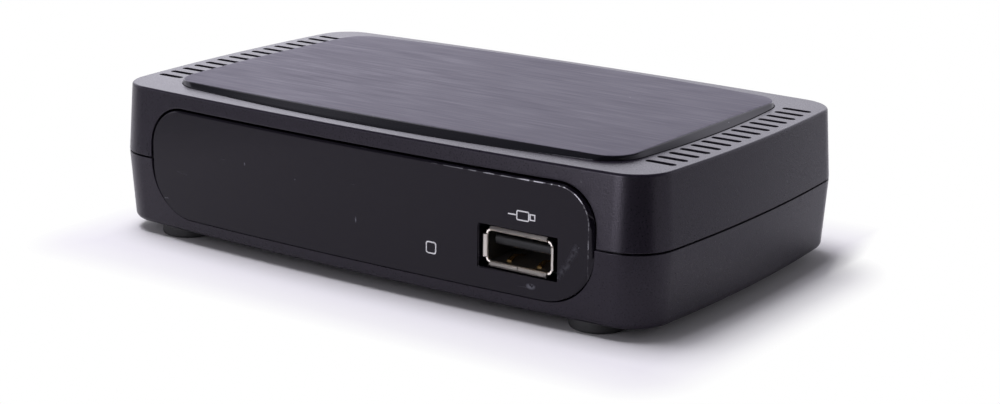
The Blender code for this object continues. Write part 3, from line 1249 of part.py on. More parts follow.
def main():
    """Clear the scene and make the box."""
    for old in list(bpy.data.objects):
        bpy.data.objects.remove(old, do_unlink=True)
    moulded = finish("moulded black plastic", (0.018, 0.018, 0.021), 0.42)
    gloss = finish("gloss black plastic", (0.012, 0.012, 0.014), 0.08)
    brushed = finish("brushed dark plate", (0.045, 0.044, 0.050), 0.30)
    rubber = finish("black rubber", (0.015, 0.015, 0.015), 0.80)
    steel = finish("bright steel", (0.62, 0.61, 0.58), 0.25, 1.0)
    shield = finish("plated sheet", (0.66, 0.64, 0.58), 0.22, 1.0)
    gold = finish("gold plating", (0.83, 0.58, 0.24), 0.25, 1.0)
    black_nylon = finish("black nylon", (0.010, 0.010, 0.011), 0.50)
    laminate = finish("board laminate", (0.020, 0.120, 0.050), 0.45)
    silicon = finish("chip moulding", (0.016, 0.016, 0.017), 0.55)
    aluminium = finish("anodised aluminium", (0.60, 0.61, 0.63), 0.35, 1.0)
    pad_grey = finish("thermal pad", (0.42, 0.44, 0.50), 0.80)
    ferrite = finish("ferrite", (0.050, 0.050, 0.052), 0.60)
    sleeve = finish("capacitor sleeve", (0.030, 0.035, 0.070), 0.40)
    clear = finish("clear dark lens", (0.030, 0.020, 0.025), 0.10)

    make_upper_housing(moulded)
    make_lower_housing(moulded)
    make_top_plate(brushed)
    make_front_panel(gloss)
    make_feet(rubber)
    make_case_screws(steel)
    make_board_screws(steel)
    make_main_board(laminate)
    make_chip("processor", silicon, on_board(PROCESSOR_PLACE_SHARE), PROCESSOR_SIDE, PROCESSOR_SIDE,
              PROCESSOR_THICK)
    make_heat_sink(pad_grey, aluminium)
    across, middle = on_board(MEMORY_PLACE_SHARE)
    for index, side in enumerate((-1, 1), 1):
        place = (across, middle + side * (MEMORY_LENGTH + MEMORY_SPACE) / 2)
        make_chip("memory_chip_%d" % index, silicon, place, MEMORY_WIDTH, MEMORY_LENGTH, MEMORY_THICK)
    make_chip("flash_chip", silicon, on_board(FLASH_PLACE_SHARE), FLASH_WIDTH, FLASH_LENGTH, FLASH_THICK)
    make_chip("power_regulator", silicon, on_board(REGULATOR_PLACE_SHARE), REGULATOR_WIDTH,
              REGULATOR_LENGTH, REGULATOR_THICK)
    make_wireless_module(shield)
    make_capacitors(sleeve)
    make_inductor(ferrite)
    make_crystal(steel)
    make_front_part("infrared_receiver", clear, RECEIVER_X, RECEIVER_WIDTH, RECEIVER_DEPTH, RECEIVER_HEIGHT,
                    RECEIVER_DOME)
    make_front_part("status_lamp", clear, LAMP_X, LAMP_WIDTH, LAMP_DEPTH, LAMP_HEIGHT, LAMP_DOME)

    make_front_port(shield, black_nylon, gold)
    places = socket_row()
    make_network_transformer(silicon, places["network"])
    make_video_port(places["video"], shield, black_nylon)
    make_network_jack(places["network"], shield, black_nylon)
    make_power_jack(places["power"], black_nylon, steel)
    make_sound_jack(places["sound"], black_nylon)
    make_optical_port(places["optical"], black_nylon, black_nylon, steel)
    make_reset_switch(places["reset"], black_nylon, steel)
    make_rear_panel(moulded, places)


main()
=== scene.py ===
import math

import bmesh
import bpy
from mathutils import Matrix, Vector


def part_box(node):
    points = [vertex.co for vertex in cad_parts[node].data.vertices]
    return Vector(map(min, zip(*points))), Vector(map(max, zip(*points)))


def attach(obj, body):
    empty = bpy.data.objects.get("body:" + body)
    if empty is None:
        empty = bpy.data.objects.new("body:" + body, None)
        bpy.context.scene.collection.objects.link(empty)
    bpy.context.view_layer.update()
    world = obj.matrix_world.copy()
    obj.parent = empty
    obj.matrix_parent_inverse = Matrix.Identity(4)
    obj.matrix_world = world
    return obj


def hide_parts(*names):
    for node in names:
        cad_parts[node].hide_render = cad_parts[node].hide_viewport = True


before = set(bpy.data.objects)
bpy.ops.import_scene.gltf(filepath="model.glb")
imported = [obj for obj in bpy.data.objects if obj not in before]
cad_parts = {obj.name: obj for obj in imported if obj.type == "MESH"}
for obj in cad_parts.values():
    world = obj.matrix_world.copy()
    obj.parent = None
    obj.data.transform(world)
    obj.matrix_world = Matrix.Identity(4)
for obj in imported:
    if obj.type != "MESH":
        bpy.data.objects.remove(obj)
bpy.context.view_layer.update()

bl_info = {
    "name": "Streaming box",
    "version": (1, 0, 0),
    "blender": (4, 5, 0),
    "location": "3D View > Sidebar > Streaming box",
    "description": "Detailed pieces, finishes, light and camera for the packed streaming box",
    "category": "Object",
}

MM = 0.001
BODY = "box"
CORNERS = ("front_left", "front_right", "rear_left", "rear_right")

# How far a cutter reaches past the faces that it opens
OVERRUN = 1.0 * MM

# Heights of the print's two sides over the window's face
PRINT_FOOT, PRINT_TOP = -0.01 * MM, 0.015 * MM

# Window's opening, from outside inwards: width in bevels beyond the gap, and depth from the wall's face
OPENING_LEVELS = ((1.6, -2 * MM), (1.6, -0.06 * MM), (0.12, 0.09 * MM), (0.03, 0.12 * MM),
                  (0.0, 0.16 * MM), (0.0, 4.5 * MM))

# Window's bevelled edge, from the back forwards: inset in bevels, and depth in edges
WINDOW_EDGE = ((0.0, 1.5), (0.04, 1.15), (0.12, 0.92), (0.80, 0.12), (0.90, 0.03), (1.0, 0.0), (1.25, 0.0))

# Light of the room as (share, brightness) stops: once round it, and by the height of the direction
ROUND_THE_ROOM = ((0.0, 1.0), (0.25, 0.95), (0.36, 0.95), (0.42, 0.95), (0.455, 1.0), (0.49, 0.6),
                  (0.515, 0.08), (0.70, 0.08), (0.78, 0.5), (0.86, 0.80), (0.92, 0.95), (1.0, 1.0))
UP_THE_ROOM = ((0.0, 1.0), (0.54, 1.0), (0.64, 0.11), (1.0, 0.11))

# Lamps: name, place, what it looks at, size and watts. Gloss doesn't show the first, and matt colours
# don't see the others.
LAMPS = (("top_softbox", (-0.17, -0.03, 0.80), (0.0, 0.0, 0.0), (0.42, 0.42), 6.8),
         ("back_softbox", (-0.63, 0.90, 0.34), (0.0, 0.0, 0.03), (1.35, 0.36), 1.46),
         ("left_softbox", (-0.84, 0.705, 0.34), (0.0, 0.0, 0.03), (0.45, 0.36), 0.30),
         ("front_softbox", (-0.012, -0.355, 0.05), (0.05, -0.03, 0.02), (0.12, 0.12), 0.54))

# Grey cards on the floor that dim the box's reflections: name, middle of the arcs, bearings of both ends in
# degrees, inner and outer radius, grey, and width of the soft inner edge
FLOOR_FLAGS = (("right_flag", (0.052, -0.028), 4, 78, 0.042, 0.5, 0.01, 0.004),
               ("side_flag", (0.058, 0.0), 95, 178, 0.012, 0.5, 0.62, 0.012),
               ("front_flag", (0.0, -0.035), -84, -22, 0.095, 0.6, 0.50, 0.06))


# Sizes and colours

def length(title, text, default):
    """A length that a user may change, in metres."""
    return bpy.props.FloatProperty(name=title, description=text, default=default, unit="LENGTH",
                                   precision=5, min=0.0)


def share(title, text, default, most=1.0):
    """A plain number from nought to most."""
    return bpy.props.FloatProperty(name=title, description=text, default=default, min=0.0, max=most)


def tint(title, text, default):
    """A linear colour."""
    return bpy.props.FloatVectorProperty(name=title, description=text, default=default, size=3,
                                         subtype="COLOR", min=0.0, max=1.0)


class HousingSizes(bpy.types.PropertyGroup):
    """The two moulded halves."""
    width: length("Width", "Across the parting line", 0.1201)
    depth: length("Depth", "Front to back at the parting line", 0.0718)
    front_bow: length("Front bow", "How far the front and the back bulge", 0.00154)
    side_bow: length("Side bow", "How far the sides bulge", 0.00113)
    corner: length("Corner radius", "Upright corners in plan", 0.0082)
    underside: length("Underside", "Height of the underside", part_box("lower_housing")[0].z)
    split: length("Parting line", "Height of the parting line", 0.0151)
    rim: length("Rim", "Height of the flat rim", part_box("upper_housing")[1].z)
    top_draft: length("Upper draft", "How far the walls lean in by the rim", 0.0009)
    low_draft: length("Lower draft", "How far the walls lean in by the underside", 0.0009)
    wall: length("Wall", "Wall thickness", 0.0018)
    roof: length("Roof", "Roof thickness", 0.0024)
    floor: length("Floor", "Floor thickness", 0.0020)
    top_round: length("Top edge", "Radius of the upper outer edge", 0.00045)
    low_round: length("Bottom edge", "Radius of the lower outer edge", 0.0011)
    edge: length("Parting edge", "Radius of the edges at the parting line", 0.00012)
    gap: length("Parting gap", "Space between the two halves", 0.0003)
    lip_rise: length("Lip rise", "How far the lower half's lip enters the upper half", 0.0012)
    lip: length("Lip", "Thickness of the lip", 0.0007)


class VentSizes(bpy.types.PropertyGroup):
    """The two rows of vent slots."""
    count: bpy.props.IntProperty(name="Slots", description="Slots in each row", default=15, min=2)
    pitch: length("Pitch", "Slot to slot", 0.00338)
    reach: length("Length", "Length of a slot", 0.0056)
    width: length("Width", "Width of a slot", 0.0013)
    place: length("Place", "Middle of the box to the middle of a row", 0.05449)
    bow: length("Row bow", "How far the row's ends step in", 0.00075)
    shift: length("Row shift", "How far the row sits behind the middle", 0.0005)
    edge: length("Slot edge", "Radius of the slot's upper edge", 0.00007)


class PlateSizes(bpy.types.PropertyGroup):
    """The raised plate on top."""
    width: length("Width", "Foot of the slope, across", 0.1020)
    depth: length("Depth", "Foot of the slope, front to back", 0.0640)
    front_bow: length("Front bow", "Bulge of the foot's long sides", 0.0031)
    side_bow: length("Side bow", "Bulge of the foot's short sides", 0.0012)
    face_width: length("Face width", "Across the brushed face", 0.0986)
    face_depth: length("Face depth", "Brushed face, front to back", 0.05848)
    face_front_bow: length("Face front bow", "Bulge of the face's long sides", 0.0015)
    face_side_bow: length("Face side bow", "Bulge of the face's short sides", 0.0002)
    corner: length("Corner radius", "Corners of the face in plan", 0.0050)
    foot_corner: length("Foot corner radius", "Corners of the slope's foot in plan", 0.0078)
    rise: length("Rise", "Face above the rim", 0.00105)
    dip: length("Corner dip", "How far the face falls at its corners", 0.0004)
    sink: length("Sink", "How far the plate goes into the roof", 0.0007)
    step: length("Step", "Upright foot of the slope", 0.00008)
    soft: length("Edge softness", "Width of the round between slope and face", 0.00045)


class WindowSizes(bpy.types.PropertyGroup):
    """The front window and its opening."""
    half: length("Half width", "Middle to the window's end", 0.0484)
    low: length("Lower edge", "Height of the lower edge", 0.00465)
    high: length("Upper edge", "Height of the upper edge", 0.02495)
    top_corner: length("Upper corners", "Radius of the upper corners", 0.0072)
    low_corner: length("Lower corners", "Radius of the lower corners", 0.0094)
    recess: length("Recess", "Front of the housing to the window's face", 0.00035)
    thick: length("Thickness", "Thickness of the window", 0.00285)
    edge: length("Edge", "Depth of the window's bevelled edge", 0.00030)
    end_bevel: length("End bevel", "Width of the bevel at the right end", 0.00115)
    left_bevel: length("Left bevel", "Width of the bevel at the left end", 0.00016)
    head_bevel: length("Upper bevel", "Width of the bevel above", 0.00034)
    sill_bevel: length("Lower bevel", "Width of the bevel below", 0.00012)
    upper_gap: length("Upper gap", "Window to the upper housing", 0.00037)
    lower_gap: length("Lower gap", "Window to the lower housing", 0.00011)
    upper_bevel: length("Opening bevel", "Width of the bevel round the upper housing's opening", 0.00035)
    lower_edge: length("Opening edge", "Width of the edge round the lower housing's opening", 0.00010)


class PortSizes(bpy.types.PropertyGroup):
    """The serial port in the window."""
    x: length("Place", "Middle of the box to the port", 0.0339)
    z: length("Height", "Height of the port's middle", 0.01206)
    width: length("Width", "Inside the shell", 0.0125)
    height: length("Height inside", "Inside the shell", 0.00512)
    sheet: length("Sheet", "Thickness of the shell", 0.0003)
    corner: length("Corner", "Outer corner radius of the shell", 0.0008)
    lip_sheet: length("Lip sheet", "Thickness of the rolled lips", 0.00064)
    flare: length("Flare", "How far the lips open", 0.0005)
    lip: length("Lip", "Length of the flared lips", 0.00085)
    cut_width: length("Cut-out width", "Width of the window's cut-out", 0.0154)
    cut_height: length("Cut-out height", "Height of the window's cut-out", 0.0075)


class FinishColours(bpy.types.PropertyGroup):
    """Colours of the finishes."""
    moulded: tint("Moulded black", "Housing plastic", (0.0086, 0.0070, 0.0112))
    window: tint("Window", "Gloss front window", (0.0050, 0.0042, 0.0068))
    brushed: tint("Brushed plate", "Brushed face of the top plate", (0.041, 0.0375, 0.053))
    slope: tint("Plate slope", "Polished slope round the plate", (0.006, 0.006, 0.008))
    rubber: tint("Foot rubber", "Feet", (0.012, 0.012, 0.012))
    plated: tint("Plated sheet", "Shells of the ports", (0.94, 0.88, 0.80))
    gold: tint("Gold plating", "Contacts", (0.86, 0.57, 0.22))
    nylon: tint("Black nylon", "Socket mouldings", (0.0048, 0.0048, 0.0056))
    ink: tint("White print", "Printed marks", (0.80, 0.80, 0.80))
    laminate: tint("Board laminate", "Circuit board", (0.010, 0.060, 0.028))


class StageSettings(bpy.types.PropertyGroup):
    """Camera and light."""
    azimuth: bpy.props.FloatProperty(name="Azimuth", description="Camera to the right of the front",
                                     default=math.radians(34.775), subtype="ANGLE")
    elevation: bpy.props.FloatProperty(name="Elevation", description="Camera above the horizon",
                                       default=math.radians(15.557), subtype="ANGLE")
    roll: bpy.props.FloatProperty(name="Roll", description="Turn of the camera about its view",
                                  default=math.radians(0.711), subtype="ANGLE")
    place: bpy.props.FloatVectorProperty(name="Camera", description="Place of the camera", size=3,
                                         default=(0.221411, -0.309991, 0.113309),
                                         subtype="TRANSLATION", precision=5)
    lens: bpy.props.FloatProperty(name="Lens", description="Focal length in millimetres on a 36 mm frame",
                                  default=76.38, min=1.0)
    floor_half: length("Floor", "Half the side of the floor", 4.0)
    light: tint("Light", "Tint of the studio light", (0.915, 0.90, 1.0))
    backdrop: share("Backdrop", "Brightness of the background, where 1 is white", 1.06, 2.0)


SETTINGS = {"box_housing": HousingSizes, "box_vents": VentSizes, "box_plate": PlateSizes,
            "box_window": WindowSizes, "box_port": PortSizes, "box_colours": FinishColours,
            "box_stage": StageSettings}


# Shader maths

class Wire:
    """A shader socket that does arithmetic. Each sum adds its Math node."""

    def __init__(self, tree, socket):
        self.tree = tree
        self.socket = socket

    def feed(self, target):
        """Link this socket to another."""
        self.tree.links.new(self.socket, target)

    def maths(self, operation, *values, clamp=False):
        """A Math node on this value and others."""
        node = self.tree.nodes.new("ShaderNodeMath")
        node.operation = operation
        node.use_clamp = clamp
        for place, value in enumerate(values):
            put(node.inputs[place], value)
        return Wire(self.tree, node.outputs[0])

    def __add__(self, other):
        return self.maths("ADD", self, other)

    def __radd__(self, other):
        return self.maths("ADD", other, self)

    def __sub__(self, other):
        return self.maths("SUBTRACT", self, other)

    def __rsub__(self, other):
        return self.maths("SUBTRACT", other, self)

    def __mul__(self, other):
        return self.maths("MULTIPLY", self, other)

    def __rmul__(self, other):
        return self.maths("MULTIPLY", other, self)

    def __truediv__(self, other):
        return self.maths("DIVIDE", self, other)

    def __pow__(self, other):
        return self.maths("POWER", self, other)

    def __gt__(self, other):
        return self.maths("GREATER_THAN", self, other)

    def __lt__(self, other):
        return self.maths("LESS_THAN", self, other)

    def __abs__(self):
        return self.maths("ABSOLUTE", self)

    def at_least(self, other):
        """The larger of this value and another."""
        return self.maths("MAXIMUM", self, other)

    def clamped(self):
        """This value, kept from nought to one."""
        return self.maths("ADD", self, 0.0, clamp=True)


def put(socket, value):
    """Set a socket to a number, a colour or a vector, or link a wire to it."""
    if isinstance(value, Wire):
        value.feed(socket)
    elif socket.type == "RGBA" and len(value) == 3:
        socket.default_value = (*value, 1.0)
    else:
        socket.default_value = value


def scaled(colour, amount):
    """A colour made lighter or darker."""
    return tuple(min(1.0, amount * part) for part in colour)


class Finish:
    """A material under construction."""

    def __init__(self, name, tree=None, output="ShaderNodeOutputMaterial"):
        self.material = None
        if not tree:
            self.material = bpy.data.materials.new(name)
            self.material.use_nodes = True
        self.tree = tree or self.material.node_tree
        self.tree.nodes.clear()
        self.output = self.tree.nodes.new(output)

    def node(self, kind, settings=None, sockets=None, out=0):
        """Add a node, set it up, fill its sockets and hand back one output."""
        node = self.tree.nodes.new(kind)
        for key, value in (settings or {}).items():
            if key == "stops":
                ramp = node.color_ramp
                while len(ramp.elements) < len(value):
                    ramp.elements.new(1.0)
                for element, (place, grey) in zip(ramp.elements, value):
                    element.position = place
                    element.color = (grey, grey, grey, 1.0)
            else:
                setattr(node, key, value)
        for key, value in (sockets or {}).items():
            put(node.inputs[key], value)
        return Wire(self.tree, node.outputs[out])

    def place(self, stretch=(1.0, 1.0, 1.0), turn=(0.0, 0.0, 0.0)):
        """Object coordinates, stretched and turned."""
        spot = self.node("ShaderNodeTexCoord", out="Object")
        return self.node("ShaderNodeMapping", {}, {"Vector": spot, "Scale": stretch, "Rotation": turn})

    def noise(self, scale, detail=2.0, rough=0.5, stretch=(1.0, 1.0, 1.0), turn=(0.0, 0.0, 0.0), seed=0.0):
        """Cloudy noise. The scale counts features in a metre."""
        return self.node("ShaderNodeTexNoise", {"noise_dimensions": "4D"},
                         {"Vector": self.place(stretch, turn), "W": seed, "Scale": scale,
                          "Detail": detail, "Roughness": rough})

    def cells(self, scale, out="Distance"):
        """Cells: the distance to the nearest seed, or its random colour."""
        return self.node("ShaderNodeTexVoronoi", {}, {"Vector": self.place(), "Scale": scale}, out)

    def ramp(self, value, *stops):
        """A value read through a ramp of (place, grey) stops."""
        return self.node("ShaderNodeValToRGB", {"stops": stops}, {"Fac": value})

    def blend(self, mask, first, second):
        """Mix two colours by a mask."""
        return self.node("ShaderNodeMix", {"data_type": "RGBA"}, {0: mask, 6: first, 7: second}, 2)

    def grey(self, value):
        """A number as a colour, for a colour mix."""
        return self.node("ShaderNodeCombineColor", {}, {"Red": value, "Green": value, "Blue": value})

    def bump(self, height, strength, distance):
        """A normal from a height."""
        return self.node("ShaderNodeBump", {}, {"Height": height, "Strength": strength, "Distance": distance})

    def specks(self, scale, size, share_of_cells):
        """Sparse round specks: one where a cell's random value is small."""
        near = self.cells(scale)
        pick = self.node("ShaderNodeSeparateColor", {}, {"Color": self.cells(scale, out="Color")})
        return (near < size) * (pick < share_of_cells)

    def axes(self, names="XYZ", of="Object"):
        """The numbers of a place or a direction along the named axes."""
        spot = self.node("ShaderNodeTexCoord", out=of)
        return [self.node("ShaderNodeSeparateXYZ", {}, {"Vector": spot}, name) for name in names]

    def show(self, shader):
        """Finish with a shader."""
        shader.feed(self.output.inputs["Surface"])
        return self.material

    def surface(self, **sockets):
        """Finish with one Principled shader. Names use _ for a space."""
        return self.show(self.node("ShaderNodeBsdfPrincipled", {},
                                   {key.replace("_", " "): value for key, value in sockets.items()}))


def made_once(maker):
    """Make each finish once, and hand the same one back after that."""
    made = {}

    def wrapped(*values, **named):
        key = values[0] if values else maker.__name__
        if key not in made:
            made[key] = maker(Finish(key + "_finish"), *values, **named)
        return made[key]
    return wrapped


@made_once
def moulded_black(look):
    """Spark-textured black plastic with faint wear and dust."""
    colours = bpy.context.scene.box_colours
    grain = look.noise(3600.0, 3.0, 0.6)
    pits = look.cells(4200.0)
    cloud = look.noise(38.0, 3.0, 0.55)
    dust = look.specks(420.0, 0.055, 0.10)
    base = look.blend(cloud, scaled(colours.moulded, 0.82), scaled(colours.moulded, 1.25))
    base = look.blend(look.ramp(grain, (0.35, 0.0), (0.65, 1.0)) * 0.5, base, scaled(colours.moulded, 2.9))
    base = look.blend(dust * 0.4, base, (0.20, 0.20, 0.21))
    rough = 0.20 + 0.14 * grain + 0.04 * cloud
    height = grain * 0.9 + pits * 0.2
    return look.surface(Base_Color=base, Roughness=rough, Specular_IOR_Level=0.28,
                        Specular_Tint=(0.95, 0.90, 1.0), Normal=look.bump(height, 0.34, 0.00006))


# Dabs on the window: X, Z, half width and half height
WINDOW_DABS = ((0.0366, 0.0067, 0.0010, 0.0006), (0.0454, 0.0150, 0.0003, 0.0004),
               (-0.0452, 0.0080, 0.0007, 0.0002), (-0.0250, 0.0178, 0.0002, 0.0003),
               (0.0006, 0.0120, 0.0002, 0.0006), (-0.0130, 0.0170, 0.0002, 0.0002))

# Painted highlight on the window's rim, broken into glints, as (place, strength) stops. The places are shares
# of these two lengths.
GLINT_ACROSS, GLINT_UP = 50.0 * MM, 25.0 * MM
GLINT_ALONG_TOP = ((0.30, 0.0), (0.44, 0.18), (0.60, 0.45), (0.67, 0.10), (0.70, 0.85), (0.78, 0.85),
                  (0.785, 0.08), (0.80, 0.08), (0.805, 1.0))
GLINT_DOWN_SIDE = ((0.30, 0.0), (0.50, 0.10), (0.60, 0.30), (0.72, 0.22), (0.84, 0.30), (0.88, 1.0))


@made_once
def window_gloss(look):
    """Polished dark window with dust, smudges, a few hairline scratches and a painted highlight along its
    rim.
    """
    colours = bpy.context.scene.box_colours
    smudge = look.noise(60.0, 4.0, 0.6, seed=3.0)
    dust = look.specks(330.0, 0.045, 0.06)
    wander = look.noise(120.0, 1.0, 0.4, seed=8.0)
    scratch = look.noise(900.0, 1.0, 0.3, (0.12, 1.0, 1.6), (0.0, 0.9, 0.0), 5.0)
    line = look.ramp(scratch, (0.0, 0.0), (0.735, 0.0), (0.745, 1.0), (0.755, 0.0)) * (wander > 0.56)
    marks = (dust + 0.35 * line).clamped()
    x, z = look.axes("XZ")
    fleck = look.noise(1300.0, 3.0, 0.7, seed=11.0)
    smear_x, smear_z, half_length, half_width = 43.5 * MM, 12.05 * MM, 3.6 * MM, 0.75 * MM
    slant, rise, curve, shift = 0.526, 0.850, 28.0, 0.2 * MM
    along = (x - smear_x) * slant + (z - smear_z) * rise
    across = (x - smear_x) * rise - (z - smear_z) * slant
    bend = across + along * along * curve - shift
    smear = (1.0 - abs(bend) / half_width).clamped() * (abs(along) < half_length)
    smear = smear * look.ramp(fleck, (0.40, 0.0), (0.66, 1.0)) * 0.42
    dabs = []
    for dab_x, dab_z, wide, high in WINDOW_DABS:
        off_x, off_z = x - dab_x, z - dab_z
        dabs.append((1.0 - off_x * off_x / wide ** 2 - off_z * off_z / high ** 2).clamped())
    dab = dabs[0]
    for other in dabs[1:]:
        dab = dab + other
    smears = smear + dab * (fleck > 0.46) * 0.8
    size = bpy.context.scene.box_window
    # Painted highlight: a thin broken light line along the rounded upper right rim, where a lamp would catch
    # it
    bend_x = x - (size.half - size.top_corner)
    bend_z = z - (size.high - size.head_bevel - size.top_corner + size.end_bevel)
    side = bend_x.at_least(0.0)
    head = bend_z.at_least(0.0)
    reach = (side * side + head * head) ** 0.5 - (size.top_corner - size.end_bevel)
    rim = (1.3 - abs(reach) / 0.00009).clamped()
    glint_breaks = look.noise(760.0, 2.0, 0.6, seed=14.0)
    along_top = look.ramp(x / GLINT_ACROSS, *GLINT_ALONG_TOP)
    down_side = look.ramp(z / GLINT_UP, *GLINT_DOWN_SIDE)
    broken = look.ramp(glint_breaks, (0.46, 0.10), (0.54, 1.0))
    painted_glints = rim * along_top * down_side * broken
    base = look.blend(marks * 0.28, tuple(colours.window), (0.42, 0.44, 0.48))
    base = look.blend(smears * 0.42, base, (0.36, 0.37, 0.42))
    # The painted highlight lightens the rim's colour
    base = look.blend(painted_glints, base, (0.86, 0.86, 0.90))
    rough = (0.055 + 0.05 * look.ramp(smudge, (0.45, 0.0), (0.75, 1.0)) + 0.35 * marks + 0.3 * smears
             + 0.4 * painted_glints)
    return look.surface(Base_Color=base, Roughness=rough, Specular_IOR_Level=0.27,
                        Specular_Tint=(0.95, 0.90, 1.0),
                        Normal=look.bump(smudge, 0.05, 0.00002))


@made_once
def brushed_plate(look):
    """Brushed dark face and polished dark slope, told apart by the piece's slope attribute."""
    colours = bpy.context.scene.box_colours
    slope = look.node("ShaderNodeAttribute", {"attribute_name": "slope"}, {}, "Fac")
    fine = look.noise(1.0, 3.0, 0.6, (90.0, 4200.0, 1.0), seed=1.0)
    broad = look.noise(1.0, 2.0, 0.5, (80.0, 1500.0, 1.0), (0.0, 0.0, 0.012), seed=2.0)
    cross = look.noise(1.0, 2.0, 0.5, (45.0, 900.0, 1.0), (0.0, 0.0, -0.020), seed=6.0)
    streak = fine * 0.34 + broad * 0.40 + cross * 0.26
    keen = look.ramp(streak, (0.38, 0.0), (0.62, 1.0))
    dust = look.specks(260.0, 0.050, 0.05)
    lint = look.specks(900.0, 0.14, 0.05) * slope
    brushed = look.blend(keen, scaled(colours.brushed, 0.70), scaled(colours.brushed, 1.35))
    base = look.blend(slope, brushed, tuple(colours.slope))
    base = look.blend((dust * 0.5 + lint * 0.35).clamped(), base, (0.30, 0.30, 0.30))
    rough = look.blend(slope, look.grey(0.38 + 0.16 * keen), look.grey(0.13))
    metal = (1.0 - slope) * 0.55
    height = streak * (1.0 - slope)
    return look.surface(Base_Color=base, Roughness=rough, Metallic=metal, Specular_IOR_Level=0.36,
                        Specular_Tint=(0.95, 0.92, 1.0),
                        Normal=look.bump(height, 0.55, 0.00004))


@made_once
def plain(look, name, colour, metallic, rough_low, rough_high, grain, depth, wear, shine=0.5):
    """A finish with cloudy tone, grain and fine wear, for the small pieces."""
    fine = look.noise(grain, 3.0, 0.6)
    cloud = look.noise(grain * 0.06, 3.0, 0.55, seed=4.0)
    spot = look.specks(grain * 0.30, 0.10, 0.12)
    base = look.blend(cloud, scaled(colour, 1.0 - wear), scaled(colour, 1.0 + wear))
    base = look.blend(spot * wear, base, scaled(colour, 0.5))
    rough = rough_low + (rough_high - rough_low) * (fine * 0.6 + cloud * 0.4)
    return look.surface(Base_Color=base, Roughness=rough, Metallic=metallic, Specular_IOR_Level=shine,
                        Normal=look.bump(fine, 0.35, depth))


def foot_rubber():
    """Dull black rubber."""
    colour = tuple(bpy.context.scene.box_colours.rubber)
    return plain("foot_rubber", colour, metallic=0.0, rough_low=0.62,
                 rough_high=0.85, grain=2600.0, depth=0.00006, wear=0.25)


def plated_sheet():
    """Bright plated steel sheet."""
    colour = tuple(bpy.context.scene.box_colours.plated)
    return plain("plated_sheet", colour, metallic=1.0, rough_low=0.28,
                 rough_high=0.46, grain=1800.0, depth=0.00001, wear=0.08)


def gold_plating():
    """Gold plated contacts."""
    colour = tuple(bpy.context.scene.box_colours.gold)
    return plain("gold_plating", colour, metallic=1.0, rough_low=0.18,
                 rough_high=0.32, grain=2400.0, depth=0.00001, wear=0.10)


def socket_nylon():
    """Black moulded nylon."""
    colour = tuple(bpy.context.scene.box_colours.nylon)
    return plain("socket_nylon", colour, metallic=0.0, rough_low=0.38,
                 rough_high=0.56, grain=2800.0, depth=0.00003, wear=0.20, shine=0.30)


def shell_inside():
    """Plated sheet darkened into a shaded copy: painted shade for the dim inside of a socket."""
    colour = scaled(bpy.context.scene.box_colours.plated, 0.22)
    return plain("shell_inside", colour, metallic=1.0, rough_low=0.35,
                 rough_high=0.50, grain=1800.0, depth=0.00001, wear=0.10)


def screw_steel():
    """Steel of screws and pins."""
    return plain("screw_steel", (0.60, 0.59, 0.57), metallic=1.0, rough_low=0.22,
                 rough_high=0.40, grain=2600.0, depth=0.00001, wear=0.12)


def chip_moulding():
    """Dull black chip package."""
    return plain("chip_moulding", (0.020, 0.020, 0.021), metallic=0.0, rough_low=0.50,
                 rough_high=0.66, grain=5200.0, depth=0.00003, wear=0.18)


def thermal_pad():
    """Soft grey pad."""
    return plain("thermal_pad", (0.36, 0.38, 0.44), metallic=0.0, rough_low=0.72,
                 rough_high=0.90, grain=1500.0, depth=0.00003, wear=0.12)


def sink_aluminium():
    """Bare aluminium of the heat sink."""
    return plain("sink_aluminium", (0.62, 0.63, 0.65), metallic=1.0, rough_low=0.30,
                 rough_high=0.48, grain=3000.0, depth=0.00002, wear=0.10)


def capacitor_sleeve():
    """Dark blue plastic sleeve."""
    return plain("capacitor_sleeve", (0.020, 0.026, 0.060), metallic=0.0, rough_low=0.26,
                 rough_high=0.42, grain=900.0, depth=0.00001, wear=0.15)


def ferrite():
    """Rough grey ferrite."""
    return plain("ferrite", (0.050, 0.050, 0.052), metallic=0.0, rough_low=0.55,
                 rough_high=0.75, grain=3600.0, depth=0.00004, wear=0.30)


def dark_lens():
    """Dark clear plastic of the lamp and the receiver."""
    return plain("dark_lens", (0.030, 0.018, 0.024), metallic=0.0, rough_low=0.05,
                 rough_high=0.12, grain=400.0, depth=0.00001, wear=0.10)


def white_print():
    """White ink."""
    colour = tuple(bpy.context.scene.box_colours.ink)
    return plain("white_print", colour, metallic=0.0, rough_low=0.45,
                 rough_high=0.62, grain=3000.0, depth=0.00001, wear=0.05)


@made_once
def board_laminate(look):
    """Solder mask over copper runs."""
    colour = tuple(bpy.context.scene.box_colours.laminate)
    runs = look.node("ShaderNodeTexBrick", {"offset": 0.37, "squash": 1.0},
                     {"Vector": look.place(), "Scale": 420.0, "Mortar Size": 0.012, "Color1": (0.0,) * 3,
                      "Color2": (0.0,) * 3, "Mortar": (1.0,) * 3}, "Fac")
    holes = look.specks(500.0, 0.16, 0.16)
    cloud = look.noise(160.0, 3.0, 0.5)
    base = look.blend(cloud, scaled(colour, 0.8), scaled(colour, 1.3))
    base = look.blend(runs * 0.6, base, scaled(colour, 2.4))
    base = look.blend(holes, base, (0.40, 0.33, 0.16))
    return look.surface(Base_Color=base, Roughness=0.30 + 0.15 * cloud, Metallic=holes * 0.8,
                        Normal=look.bump(runs, 0.4, 0.00003))


# Outlines

def pointing(angle):
    """Unit vector at an angle."""
    return Vector((math.cos(angle), math.sin(angle)))


def arc(steps):
    """Angles of a quarter turn, from nought."""
    return [math.pi / 2 * step / steps for step in range(steps + 1)]


